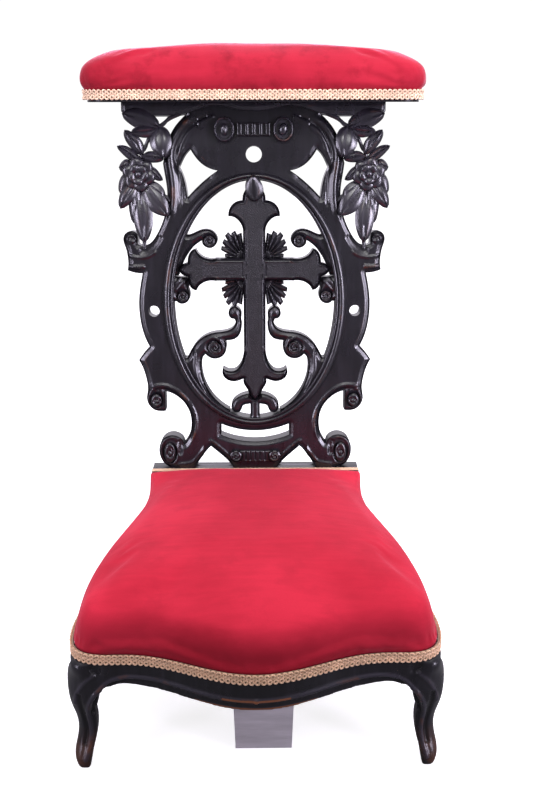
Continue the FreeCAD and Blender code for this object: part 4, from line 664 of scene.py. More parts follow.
def braid_thread(name="gimp_braid_thread", fresh=1.0):
    """Beige-gold cotton thread with a twist; fresh thread is paler than knelt-on thread."""
    look = Finish(name)
    gold = tuple(c ** (1.0 / fresh) for c in cloth_sizes().braid)
    twist = look.stripes("DIAGONAL", 420.0, 2.5)
    tone = look.ramp(look.clouds(55.0, 3.0), (0.3, tinted(gold, 0.85)), (0.55, gold),
                     (0.75, tuple(min(1.0, 1.22 * c) for c in gold)))
    tone = look.blend(look.level(twist, 0.0, 0.6, 0.30, 0.0), tone, tinted(gold, 0.6))
    # The ribbon, seen through the loops, is painted darker: painted shade in the holes between
    # them.
    look.paint(Base_Color=look.blend(look.marked("ribbon"), tone, tinted(gold, 0.52)))
    look.bump(twist, 0.5, 0.0004)
    fill(look.shader, Roughness=0.7, Sheen_Weight=0.3, Sheen_Roughness=0.5)
    return look.material


def plain_wood(name, pale, dark):
    look = Finish(name)
    grain = look.clouds(7.0, 6.0, 0.6, look.mapped((1.6, 12.0, 12.0)))
    look.paint(Base_Color=look.ramp(grain, (0.35, dark), (0.65, pale)))
    look.bump(grain, 0.2, 0.0006)
    fill(look.shader, Roughness=0.62)
    return look.material


def weave(name, pale, dark, count):
    """Plain woven cloth: two sets of threads over and under each other."""
    look = Finish(name)
    cloth = look.sum("MAXIMUM", look.stripes("X", count, 0.8), look.stripes("Y", count, 0.8))
    tone = look.blend(look.level(look.clouds(30.0), 0.3, 0.7, 0.0, 0.5), pale, dark)
    look.paint(Base_Color=look.blend(look.level(cloth, 0.3, 0.9, 0.7, 0.0), tone, dark))
    look.bump(cloth, 0.5, 0.0005)
    fill(look.shader, Roughness=0.88)
    return look.material


def screw_steel():
    look = Finish("dull_steel")
    spots = look.clouds(160.0, 4.0)
    look.paint(Base_Color=look.ramp(spots, (0.35, (0.20, 0.19, 0.18)), (0.65, (0.46, 0.45, 0.44))),
               Roughness=look.level(spots, 0.3, 0.7, 0.3, 0.55))
    fill(look.shader, Metallic=1.0)
    return look.material


FINISHES = {
    "ebony": lambda: ebony(pale=1.2),
    "ebony_legs": lambda: ebony("ebonised_wood_legs", rubbed_low_and_sheen=True, shine=0.36, pale=1.4),
    # A paler copy of the ebony: painted highlight on the leaves, bosses and pips, and painted light
    # on the batten under the rest.
    "ebony_painted_lit": lambda: ebony("ebonised_wood_painted_lit", shine=0.75, pale=2.6),
    "ebony_punched": lambda: ebony("ebonised_wood_punched", punched=True, shine=0.40),
    "velvet": velvet,
    # A darker copy of the velvet for the arm rest: painted shade, with stronger nap patches and
    # more sheen.
    "velvet_painted_shade": lambda: velvet("crimson_velvet_painted_darker", 0.66, 0.85, 0.62, (1.0, 0.52, 0.66, 1.0)),
    "braid": braid_thread,
    "braid_pale": lambda: braid_thread("gimp_braid_pale", 1.25),
    "beech": lambda: plain_wood("bare_beech", (0.46, 0.29, 0.16), (0.30, 0.17, 0.085)),
    # Mid grey for the centre support: painted shadow of the floor under the seat.
    "painted_shadow": lambda: plain_wood("painted_floor_shadow", (0.58, 0.54, 0.57), (0.43, 0.40, 0.42)),
    "hessian": lambda: weave("hessian_cloth", (0.42, 0.30, 0.17), (0.20, 0.13, 0.07), 330.0),
    "webbing": lambda: weave("jute_webbing", (0.40, 0.31, 0.20), (0.18, 0.12, 0.07), 210.0),
    "steel": screw_steel,
}
# The finishes mixed so far, by name.
SHELF = {}


def finish_of(name):
    """The shop's finishes, each mixed once."""
    if name not in SHELF:
        SHELF[name] = FINISHES[name]()
    return SHELF[name]


# ---------------------------------------------------------------------------------------------
# Operators: the wood
# ---------------------------------------------------------------------------------------------

def bevel(wide, deep):
    """A flat bevel's section: how wide and how deep it is cut."""
    return (0.0, deep), (wide, 0.0)


# Where flat fronts lie, in millimetres; the boards' front is at zero, and less is nearer.
BOARD_FRONT, FRET_FRONT, BALL_FRONT, RAYS_FRONT = 0.0, 2.0, 0.0, 6.0
LIMB_FRONT, EYE_FRONT, BOSS_FRONT = -4.0, -5.0, -7.0
# How finely small work is carved, in millimetres between points.
FINE, FINEST = 0.9, 0.7

EDGE = ((0.0, 3.6), (6.2, 0.9), (7.8, 0.0))
BAR_EDGE = ((0.0, 4.2), (4.4, 0.1), (5.4, -0.9), (6.6, 0.0), (7.6, 0.0))
BATTEN_BEAD = ((0.0, 1.6), (1.6, 0.1), (2.6, 0.0), (3.4, 0.9), (4.6, 0.0))
CARTOUCHE_EDGE = ((0.0, 1.5), (2.0, 0.4), (2.6, 0.0))
CROSS_UP, BAR_HALF, BAR_BEVEL = 338.5, 18.0, 4.0
# Each ray's degrees from the arm, and its length in millimetres.
RAYS = ((7, 31), (24, 40), (40, 43), (55, 48), (69, 46), (82, 40))

SIDE_RIDGES = (
    ([(92, 577), (104, 569), (114, 559), (122, 547), (129, 532), (132, 517), (131, 503),
      (128.5, 487), (127, 468), (127.5, 450), (130, 432), (135, 414)], 7.5, 3.4),
    ([(86, 571), (97, 563), (107, 553), (115, 541), (121, 527), (123, 513), (120, 498), (117, 483),
      (116, 466), (116, 450), (118, 436)], 4.0, -2.6),
    ([(84, 564), (99, 553), (107, 543), (113, 530), (115.5, 516)], 5.0, 1.6),
    (spiral((196, 387), 9.5, 2.0, -60.0, 1.3), 3.0, 3.0),
    ([(186, 371), (177, 368), (167, 372), (157, 381), (149, 394)], 6.5, -2.6),
    ([(206, 364), (194, 359), (181, 358), (168, 361), (156, 369)], 3.6, 2.2),
    ([(206, 345), (195, 343), (184, 343), (176, 344)], 4.4, 2.6),
    ([(158, 108), (168, 107), (176, 113), (178, 124), (174, 135), (166, 141)], 3.6, 2.4),
    ([(180, 141), (171, 145), (160, 146.5), (149, 146), (138, 142), (126, 134), (115, 122),
      (106, 108), (101, 94), (100, 80), (102, 64), (108, 50)], 5.2, 2.6),
    ([(178, 133), (166, 139), (150, 139.5), (138, 135)], 3.0, -1.8),
    ([(126, 50), (134, 55), (144, 56), (154, 51), (159.5, 42), (160.5, 31), (157, 18), (149, 11),
      (139, 11), (133, 20), (132, 33), (137, 44), (146, 47.5), (153, 42), (155, 33)], 3.6, 2.4),
    ([(131, 52), (127.5, 40), (128, 24)], 5.0, -3.4),
    ([(134, 9), (120, 9.5), (106, 13), (96, 23), (87, 37), (80, 50)], 4.6, 2.2),
)
BASE_RIDGES = (
    ([(79, 53), (68, 45), (57, 35), (47, 25), (39, 14)], 4.2, 2.2),
)
CREST_RIDGES = (
    ([(88, 561.5), (78, 568), (68, 573), (60, 576)], 5.0, 1.6),
    ([(88, 570), (80, 573.5), (72, 576)], 3.6, -1.8),
)
LOWER_RIDGES = (
    (spiral((66.5, 210), 15.5, 4.5, 80.0, 1.35), 3.0, 2.6),
    (spiral((66.5, 210), 11.5, 5.0, 60.0, 1.0), 2.2, -2.0),
    ([(100, 214), (99, 196), (99.5, 176), (95, 157), (86, 139), (73, 122), (57, 108)], 3.2, 1.6),
)
LEAF_RIDGES = (
    ([(133, 305), (125, 318), (117, 330)], 3.0, 1.8),
    ([(128, 303), (119, 313), (110, 323)], 2.6, 1.6),
)
BOARD_EYES = (
    ([(x, 30.0 + 1.6 * (z - 30.0)) for x, z in spiral((145.0, 30.0), 7.0, 1.5, 100.0, 1.3)],
     2.0, -2.6),
    (spiral((165.0, 121.0), 7.2, 1.5, 120.0, 1.2), 1.9, -2.6),
)


def ring_line(across, up, wide, high, start):
    """A little over half an oval; two of them run into each other at their faded ends."""
    return [(across + wide * math.cos(math.radians(a)), up + high * math.sin(math.radians(a)))
            for a in range(start - 11, start + 192, 6)]


def carved(node, name, *args, finish="ebony", angle=35.0, **values):
    """A joiner's part with its front carved, handed over in its finish."""
    return hand_over(carve(node_copy(node, name), *args, **values), finish, [node], angle)


class CHAIR_OT_boards(bpy.types.Operator):
    """Carves the back's side boards, crest and base"""
    bl_idname = "chair.boards"
    bl_label = "Carve the back boards"

    def execute(self, context):
        for side, word in SIDES:
            node = "side_board_" + word
            board = carve(node_copy(node, "carved_side_" + word), BOARD_FRONT, EDGE,
                          on_side(side, SIDE_RIDGES))
            carve(board, EYE_FRONT, bevel(2.8, 1.8), on_side(side, BOARD_EYES), never_plain, 1.3)
            hand_over(board, "ebony", [node])
        carved("crest_board", "carved_crest", BOARD_FRONT, EDGE, on_both(CREST_RIDGES))
        carved("base_board", "carved_base", BOARD_FRONT, EDGE, on_both(BASE_RIDGES))
        return {"FINISHED"}


def never_plain(across, up):
    """For pieces whose whole edge is carved."""
    return False


class CHAIR_OT_batten(bpy.types.Operator):
    """Runs the bead along the batten's lower edge"""
    bl_idname = "chair.batten"
    bl_label = "Mould the batten"

    def execute(self, context):
        # The batten takes the paler copy of the ebony: painted light where the rest shades it.
        carved("top_batten", "moulded_batten", LIMB_FRONT, BATTEN_BEAD, plain=never_plain,
               finish="ebony_painted_lit")
        return {"FINISHED"}


class CHAIR_OT_moulding(bpy.types.Operator):
    """Turns the oval moulding round the opening"""
    bl_idname = "chair.moulding"
    bl_label = "Turn the oval moulding"

    # Share of the ring's width from its inner edge, and height over the boards.
    PROFILE = ((0.0, 1.8), (0.04, 2.9), (0.10, 3.3), (0.19, 3.3), (0.23, 2.6), (0.26, 2.3),
               (0.29, 3.0), (0.35, 4.6), (0.43, 5.8), (0.52, 6.3), (0.62, 6.0), (0.72, 5.1),
               (0.82, 3.7), (0.92, 2.2), (1.0, -0.2))

    # Where the rubbed top of the moulding starts, and the height below which it is coloured darker.
    WORN_FROM, DUSTY_BELOW = 5.0, 2.7

    def execute(self, context):
        clear_choice()
        bpy.ops.mesh.primitive_circle_add(vertices=288, radius=1.0, fill_type="NOTHING")
        ring = context.active_object
        ring.name = "oval_ring"
        edit_all(ring)
        wide, high = OVAL_WIDE, OVAL_HIGH
        bpy.ops.transform.resize(value=(wide, high, 1.0))
        level = 0.0
        for share, height in self.PROFILE:
            new_wide = OVAL_WIDE + share * RING_WIDE
            new_high = OVAL_HIGH + share * RING_CROWN
            bpy.ops.mesh.extrude_region_move(
                TRANSFORM_OT_translate={"value": (0.0, 0.0, height - level)})
            bpy.ops.transform.resize(value=(new_wide / wide, new_high / high, 1.0),
                                     center_override=(0, 0, 0))
            wide, high, level = new_wide, new_high, height
        bpy.ops.object.mode_set(mode="OBJECT")
        shape = open_shape(ring)
        bmesh.ops.bridge_loops(shape, edges=[e for e in shape.edges if e.is_boundary])
        bmesh.ops.recalc_face_normals(shape, faces=shape.faces)
        upright = Matrix.Rotation(math.pi / 2, 4, "X")
        shape.transform(Matrix.Translation((0.0, 0.0, OVAL_UP)) @ upright)
        layer = shape.verts.layers.float.new("wear_and_sheen")
        for vert in shape.verts:
            out = -vert.co.y
            vert[layer] = max(0.0, (out - self.WORN_FROM) / 1.6) if out > self.DUSTY_BELOW else -0.3
        shape.transform(BACK)
        close_shape(shape, ring)
        hand_over(ring, "ebony", ["oval_moulding"], 60.0)
        return {"FINISHED"}


class CHAIR_OT_cross(bpy.types.Operator):
    """Carves the cross with its punched ground, and the rays behind it"""
    bl_idname = "chair.cross"
    bl_label = "Carve the cross"

    UPRIGHT_LINES = (([(12.6, 196), (12.6, 332)], 1.9, 1.0), ([(12.6, 345), (12.6, 406)], 1.9, 1.0))
    ARM_LINES = (([(8, CROSS_UP + 12.6), (72, CROSS_UP + 12.6)], 1.9, 1.0),
                 ([(8, CROSS_UP - 12.6), (72, CROSS_UP - 12.6)], 1.9, 1.0))
    # A pointed bud's foot, tip, width and how far it stands forward.
    BUD = ((0, 446), (0, 488), 21.0, 3.0)

    def execute(self, context):
        for node, plain, lines in (("cross_upright", upright_sides, self.UPRIGHT_LINES),
                                   ("cross_arm", arm_sides, self.ARM_LINES)):
            carved(node, "carved_" + node, LIMB_FRONT, BAR_EDGE, on_both(lines), plain, 1.15,
                   finish="ebony_punched", angle=30.0)
        hand_over(crossing(), "ebony_punched", angle=20.0)
        shape = bmesh.new()
        add_leaf(shape, shape.verts.layers.float.new("wear_and_sheen"),
                 brought_forward(leaf_points(*self.BUD, rib=-1.0), 5.0), 5.0)
        shape.transform(BACK)
        hand_over(new_piece("cross_bud", shape), "ebony", angle=50.0)
        carved("sun_rays", "carved_rays", RAYS_FRONT, bevel(1.5, 1.4), ray_flutes(), never_plain,
               1.1, angle=25.0)
        return {"FINISHED"}


def brought_forward(rows, far):
    """A leaf's rows of points, moved towards the front."""
    return [[p + Vector((0, -far, 0)) for p in row] for row in rows]


def upright_sides(across, up):
    """True along the upright's straight sides, which are bevelled already, and under the arm."""
    return abs(across) < 18.4 and 199.4 < up < 402.6


def arm_sides(across, up):
    """True along the arm's straight sides, and where the upright crosses it."""
    return abs(across) < 19.0 or abs(up - CROSS_UP) < 18.4 and abs(across) < 64.6


def ray_flutes():
    """A ridge along each ray and a cut between each two, in the four corners of the cross."""
    lines = []
    for degrees, reach in RAYS:
        lines.append((degrees, reach, 2.3, 2.0))
    for low, high in zip(RAYS, RAYS[1:]):
        lines.append(((low[0] + high[0]) / 2.0, min(low[1], high[1]), 1.6, -2.2))
    ridges = []
    for degrees, reach, half, height in lines:
        way = Vector((math.cos(math.radians(degrees)), math.sin(math.radians(degrees))))
        near, far = way * 3.0, way * (reach + 4.0)
        for up in (1, -1):
            ridges.append(([(BAR_HALF + near.x, CROSS_UP + up * (BAR_HALF + near.y)),
                            (BAR_HALF + far.x, CROSS_UP + up * (BAR_HALF + far.y))], half, height))
    return on_both(ridges)


def push_back(shape, faces, depth):
    """Draws faces out into a block that ends at a depth, and gives its new corners."""
    made = bmesh.ops.extrude_face_region(shape, geom=faces)
    corners = [item for item in made["geom"] if isinstance(item, bmesh.types.BMVert)]
    for vert in corners:
        vert.co.y = depth
    return corners


def crossing():
    """The flush square where arm and upright meet, its corners mitred to their bevels."""
    steps = (-BAR_HALF, BAR_BEVEL - BAR_HALF, BAR_HALF - BAR_BEVEL, BAR_HALF)
    shape = bmesh.new()
    ground = shape.verts.layers.float.new("ground")
    rows = []
    for up in steps:
        row = []
        for across in steps:
            is_corner = abs(across) == abs(up) == BAR_HALF
            deep = BAR_BEVEL if is_corner else 0.0
            row.append(shape.verts.new((across, LIMB_FRONT - 0.04 + deep, CROSS_UP + up)))
            row[-1][ground] = 0.0 if is_corner else 1.0
        rows.append(row)
    for i in range(3):
        for j in range(3):
            a, b, c, d = rows[i][j], rows[i][j + 1], rows[i + 1][j + 1], rows[i + 1][j]
            if i == 1 or j == 1:
                halves = ((a, b, c, d),)
            elif i == j:
                halves = ((a, b, c), (a, c, d))
            else:
                halves = ((a, b, d), (b, c, d))
            for half in halves:
                shape.faces.new(half)
    for vert in push_back(shape, list(shape.faces), 1.0):
        vert[ground] = 0.0
    bmesh.ops.recalc_face_normals(shape, faces=shape.faces)
    shape.transform(BACK)
    return new_piece("crossing_square", shape)


class CHAIR_OT_fretwork(bpy.types.Operator):
    """Carves the scrolls and leaves inside the oval"""
    bl_idname = "chair.fretwork"
    bl_label = "Carve the fretwork"

    RIDGES = {"upper_scroll_": (), "side_leaf_": LEAF_RIDGES, "lower_scroll_": LOWER_RIDGES}
    # Across, up and radius of the ball that ends each scroll.
    BALLS = {"upper_scroll_": (72.0, 384.0, 8.5), "side_leaf_": (116.5, 295.0, 8.0),
             "lower_scroll_": (66.0, 209.0, 10.0)}

    def execute(self, context):
        for side, word in SIDES:
            for kind, ridges in self.RIDGES.items():
                piece = carve(node_copy(kind + word, "carved_" + kind + word), FRET_FRONT,
                              bevel(7.5, 4.6), on_side(side, ridges), spacing=1.5)
                across, up, radius = self.BALLS[kind]
                coil = (spiral((across, up), radius - 2.6, 0.6, 80.0, 1.5), 1.6, -2.4)
                carve(piece, BALL_FRONT, bevel(1.2, 0.6), on_side(side, [coil]), never_plain, FINE)
                hand_over(piece, "ebony", [kind + word])
        carved("foot_arch", "carved_foot_arch", FRET_FRONT, bevel(5.5, 3.6), spacing=1.5)
        return {"FINISHED"}


def ease_corners(node, finish="ebony"):
    """A copy of a plain part with its corners eased, as sandpaper leaves them."""
    piece = node_copy(node, "polished_" + node)
    edit_all(piece)
    bpy.ops.mesh.dissolve_limited(angle_limit=math.radians(0.6))
    bpy.ops.object.mode_set(mode="OBJECT")
    apply_tool(piece, "BEVEL", width=wood().corner, segments=2, limit_method="ANGLE",
               angle_limit=math.radians(38.0), harden_normals=False)
    return hand_over(piece, finish, [node])


class CHAIR_OT_ornaments(bpy.types.Operator):
    """Finishes the crest's bosses and strap and the base's cartouche"""
    bl_idname = "chair.ornaments"
    bl_label = "Finish the ornaments"

    BOSS_ACROSS, BOSS_UP = 46.0, 556.0
    FLUTES = tuple(([(across, 15), (across, 33)], 2.6, -2.4) for across in (-16, -8, 0, 8, 16))

    def execute(self, context):
        carved("crest_strap", "carved_strap", LIMB_FRONT, bevel(1.3, 1.0), plain=never_plain,
               spacing=FINE)
        coil = (spiral((33.0, 24.0), 7.6, 1.5, 200.0, 1.25), 2.2, 2.6)
        cartouche = carve(node_copy("base_cartouche", "carved_cartouche"), BOSS_FRONT,
                          CARTOUCHE_EDGE, on_both([coil]), never_plain, FINEST)
        carve(cartouche, EYE_FRONT, bevel(1.6, 1.2), self.FLUTES, never_plain, FINE)
        hand_over(cartouche, "ebony", ["base_cartouche"])
        for side, word in SIDES:
            across = side * self.BOSS_ACROSS
            rim = [(ring_line(across, self.BOSS_UP, 14.2, 16.8, start), 3.0, 2.4)
                   for start in (0, 180)]
            # The bosses and their pips take the paler copy of the ebony: painted highlight.
            carved("crest_boss_" + word, "carved_boss_" + word, BOSS_FRONT, bevel(1.8, 1.6), rim,
                   never_plain, FINE, finish="ebony_painted_lit")
            clear_choice()
            bpy.ops.mesh.primitive_uv_sphere_add(segments=24, ring_count=12, radius=1.0)
            pip = context.active_object
            pip.name = "boss_pip_" + word
            pip.data.transform(BACK @ Matrix.Translation((across, -3.0, self.BOSS_UP))
                               @ Matrix.Rotation(math.radians(side * 14.0), 4, "Y")
                               @ Matrix.Diagonal((5.0 if side < 0 else 7.5, 6.2, 10.0, 1.0)))
            hand_over(pip, "ebony_painted_lit")
        return {"FINISHED"}


class CHAIR_OT_frame(bpy.types.Operator):
    """Polishes the rails and legs and gives the hidden parts their finishes"""
    bl_idname = "chair.frame"
    bl_label = "Polish the frame"

    # The centre support is coloured mid grey: painted shadow of the floor under the seat.
    PLAIN = {"inner_rail": "beech", "rear_cleat": "beech", "corner_blocks": "beech",
             "back_dowels": "beech", "centre_support": "painted_shadow", "seat_webbing": "webbing",
             "seat_hessian": "hessian", "rest_screws": "steel"}
    # Across and height in millimetres, half width and height of each bead on the front.
    BEADS = (([(0, 134.5), (60, 135), (118, 138.5), (152, 140), (172, 138), (187, 132),
               (198, 122.5), (208, 110), (214.5, 96), (217, 80), (216, 62), (215.5, 46),
               (218, 30), (223, 13)], 4.4, 3.2),
             ([(0, 128.5), (60, 129), (118, 132.5), (152, 134.5), (170, 132.5), (183, 127),
               (193, 118.5), (202, 107), (208, 93), (210.5, 78)], 3.4, -2.8),
             ([(206, 141), (215, 134), (224, 122), (230, 109), (233, 97)], 4.0, 1.5),
             ([(226, 112), (224, 92), (222.5, 72), (221, 50), (224, 32)], 4.0, -2.6))

    def execute(self, context):
        for node, finish in self.PLAIN.items():
            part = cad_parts[node]
            part.data.materials.clear()
            part.data.materials.append(finish_of(finish))
        for node in ("side_rail_left", "side_rail_right", "rear_rail", "rest_board"):
            ease_corners(node)
        for node in ("rear_leg_left", "rear_leg_right"):
            ease_corners(node, "ebony_legs")
        joined = ["front_rail", "front_leg_left", "front_leg_right"]
        front = outer_skin("front_frame", joined, 0.0022, None, 3, joint_fillers())
        ease_brackets(front)
        run_beads(front, on_both(self.BEADS))
        hand_over(front, "ebony_legs", joined, 70.0)
        return {"FINISHED"}


# Where a rail's tenon sits in its leg, and the curved foot of the rail beside the leg, in metres.
TENON = ((0.190, 0.105), (0.212, 0.105), (0.212, 0.156), (0.190, 0.156))
BRACKET = ((0.195, 0.118), (0.213, 0.118), (0.213, 0.084), (0.2065, 0.084), (0.200, 0.097),
           (0.197, 0.107))
# Each filler's outline, front and back.
FILLERS = ((TENON, -0.2634, -0.2292), (BRACKET, -0.2580, -0.2350))
# Boxes over the right half that are sanded: least and most across, and up, in metres.
BRACKET_ZONE = (0.186, 0.209), (0.084, 0.122)
KNEE_ZONE = (0.180, 0.222), (0.124, 0.162)
KNEE_FRONT = -0.245
# How far the bracket is drawn out, and where that fades in and out, up and across, in millimetres.
BRACKET_PULL = 8.5
FADE_TOP, FADE_FOOT = (122.0, 12.0), (80.0, 8.0)
FADE_INNER, FADE_OUTER = (172.0, 12.0), (206.0, 10.0)


def joint_fillers():
    """Solid blocks that close the glued joints between the front rail and its legs."""
    fillers = []
    for side, _ in SIDES:
        for outline, near, far in FILLERS:
            shape = bmesh.new()
            face = shape.faces.new([shape.verts.new((side * x, near, z)) for x, z in outline])
            push_back(shape, [face], far)
            bmesh.ops.recalc_face_normals(shape, faces=shape.faces)
            fillers.append(new_piece("joint_filler", shape))
    return fillers


def in_zone(vert, zone):
    """Whether a point lies in a box over either half, seen from the front."""
    (near, far), (low, high) = zone
    return near < abs(vert.co.x) < far and low < vert.co.z < high


def sand(shape, verts, rounds, deep=True):
    """Smooths a place in a few rounds, in depth as well or only in its outline."""
    for _ in range(rounds):
        bmesh.ops.smooth_vert(shape, verts=verts, factor=0.5, use_axis_x=True, use_axis_y=deep,
                              use_axis_z=True)


def ease_brackets(piece):
    """Draws the rail's curved feet out to the legs and sands them in."""
    shape = open_shape(piece)
    for vert in shape.verts:
        across, up = abs(vert.co.x) / MM, vert.co.z / MM
        pull = clamp((FADE_TOP[0] - up) / FADE_TOP[1]) * clamp((up - FADE_FOOT[0]) / FADE_FOOT[1])
        pull *= clamp((across - FADE_INNER[0]) / FADE_INNER[1])
        pull *= clamp((FADE_OUTER[0] - across) / FADE_OUTER[1])
        vert.co.x += math.copysign(BRACKET_PULL * MM * pull, vert.co.x)
    brackets = [v for v in shape.verts if in_zone(v, BRACKET_ZONE)]
    knees = [v for v in shape.verts if in_zone(v, KNEE_ZONE) and v.co.y < KNEE_FRONT]
    sand(shape, knees, 16)
    sand(shape, brackets, 9, deep=False)
    close_shape(shape, piece)


# Marks on the front frame: a lit arris, rubbed and painted paler as a painted highlight, and one
# rubbed to bare wood.
LIT_ARRIS, BARE_ARRIS = 0.85, 1.7
# The scuffed middle of the rail's lower edge: half width and top, and half width on the bead.
SCUFF_HALF, SCUFF_TOP, BEAD_SCUFF_HALF = 0.078, 0.1215, 0.042


def run_beads(piece, lines):
    """Raises beads and cuts hollows along lines drawn on the piece's front."""
    shape = open_shape(piece)
    shape.normal_update()
    layer = shape.verts.layers.float.new("wear_and_sheen")
    facing = [v for v in shape.verts if v.normal.y < -0.05]
    raised = raise_lines(np.array([(v.co.x / MM, v.co.z / MM) for v in facing]), lines)
    for vert, lift in zip(facing, raised):
        arris = LIT_ARRIS if vert.normal.z < -0.35 and vert.normal.y < -0.3 else 0.0
        reach = abs(vert.co.x)
        under_middle = reach < SCUFF_HALF and vert.co.z < SCUFF_TOP and vert.normal.z < 0.05
        if under_middle or (reach < BEAD_SCUFF_HALF and lift > 2.0):
            arris = BARE_ARRIS
        # Ridges and lit arrises get values that rub the stain through and paint it paler, a painted
        # highlight; hollows get values that darken it.
        vert[layer] = max(arris, min(1.0, 0.5 * max(0.0, lift))) + 0.4 * min(0.0, lift)
        vert.co += vert.normal * (lift * MM)
    close_shape(shape, piece)


# ---------------------------------------------------------------------------------------------
# Operators: the roses
# ---------------------------------------------------------------------------------------------

# The foot and tip of each leaf, its width, and how far it arches forward.
LEAVES = (
    ((146, 561), (204, 580), 23.0, 4.0), ((150, 557), (191, 550), 14.0, 7.0),
    ((174, 518), (200, 556), 15.0, 6.0), ((176, 508), (214, 531), 12.0, 4.0),
    ((190, 500), (212, 500), 15.0, 5.0), ((172, 499), (143, 480), 11.0, 7.0),
    ((190, 489), (211, 458), 20.0, 4.0), ((186, 480), (211, 435), 17.0, 8.0),
    ((184, 474), (193, 413), 15.0, 5.0), ((180, 462), (175, 382), 23.0, 8.0),
    ((176, 466), (166, 412), 13.0, 4.0), ((176, 474), (136, 424), 24.0, 7.0),
    ((172, 476), (143, 450), 20.0, 4.0), ((177, 514), (141, 513), 13.0, 5.0),
    ((149, 561), (139, 513), 25.0, 8.0),
)
STEMS = (((112, 583), (150, 560)), ((150, 560), (177, 522)), ((177, 522), (181, 488)),
         ((181, 488), (134, 446)), ((181, 488), (177, 372)))
ROSE = (181, 488)


def leaf_points(foot, tip, wide, forward, across_count=9, along_count=15, rib=1.9):
    """A carved leaf's front as rows of points: two lobes beside a cut midrib, and a pointed tip."""
    start, end = Vector((foot[0], 0, foot[1])), Vector((tip[0], 0, tip[1]))
    along = end - start
    across = Vector((-along.z, 0, along.x)).normalized()
    seed = foot[0] * 0.37 + tip[1] * 0.11
    rows = []
    for i in range(along_count):
        share = i / (along_count - 1)
        half = 0.66 * wide * (math.sin(math.pi * share ** 0.9) ** 0.58 + 0.04)
        middle = start + along * share
        middle.y -= forward * math.sin(0.75 * math.pi * share)
        middle += across * 1.2 * math.sin(share * 5.0 + seed)
        row = []
        for j in range(across_count):
            side = 2.0 * j / (across_count - 1) - 1.0
            lift = 4.4 * (1.0 - abs(side) ** 2.2) * min(1.0, 0.35 + half / 7.0)
            lift -= rib * max(0.0, 1.0 - abs(side) / 0.24)
            row.append(middle + across * side * half + Vector((0, -1, 0)) * lift)
        rows.append(row)
    return rows


def add_leaf(shape, layer, rows, thick=3.0):
    """Closes a leaf's front with a flat back behind it."""
    front = [[shape.verts.new(p) for p in row] for row in rows]
    last, wide = len(rows) - 1, len(rows[0]) - 1
    sides = [abs(2.0 * j / wide - 1.0) for j in range(wide + 1)]
    back = [[shape.verts.new(p + Vector((0, thick + 1.5 * (1.0 - side), 0)))
             for side, p in zip(sides, row)] for row in rows]
    for row in front:
        for side, vert in zip(sides, row):
            vert[layer] = 0.75 if 0.25 < side < 0.6 else (-0.5 if side < 0.1 else 0.1)
    made = []
    for i in range(last):
        for j in range(wide):
            made.append((front[i][j], front[i][j + 1], front[i + 1][j + 1], front[i + 1][j]))
            made.append((back[i][j], back[i + 1][j], back[i + 1][j + 1], back[i][j + 1]))
        made.append((front[i][0], front[i + 1][0], back[i + 1][0], back[i][0]))
        made.append((front[i][wide], back[i][wide], back[i + 1][wide], front[i + 1][wide]))
    for j in range(wide):
        made.append((front[0][j], back[0][j], back[0][j + 1], front[0][j + 1]))
        made.append((front[last][j], front[last][j + 1], back[last][j + 1], back[last][j]))
    faces = [shape.faces.new(corners) for corners in made]
    bmesh.ops.recalc_face_normals(shape, faces=faces)


def add_stem(shape, start, end):
    """A round stem that swells and bends a little."""
    a, b = Vector((start[0], 2.5, start[1])), Vector((end[0], 2.5, end[1]))
    out = (b - a).normalized()
    side = out.cross(Vector((0, -1, 0))).normalized()
    rings = []
    for i in range(9):
        share = i / 8.0
        middle = a.lerp(b, share) + side * 1.2 * math.sin(share * 3.0 * math.pi)
        radius = 3.2 * (1.0 + 0.12 * math.sin(share * 17.0))
        rings.append([shape.verts.new(middle + side * radius * math.cos(n * math.pi / 4)
                                      - Vector((0, radius * math.sin(n * math.pi / 4), 0)))
                      for n in range(8)])
    faces = [shape.faces.new((low[n], low[(n + 1) % 8], high[(n + 1) % 8], high[n]))
             for low, high in zip(rings, rings[1:]) for n in range(8)]
    faces += [shape.faces.new(rings[0]), shape.faces.new(rings[-1])]
    bmesh.ops.recalc_face_normals(shape, faces=faces)


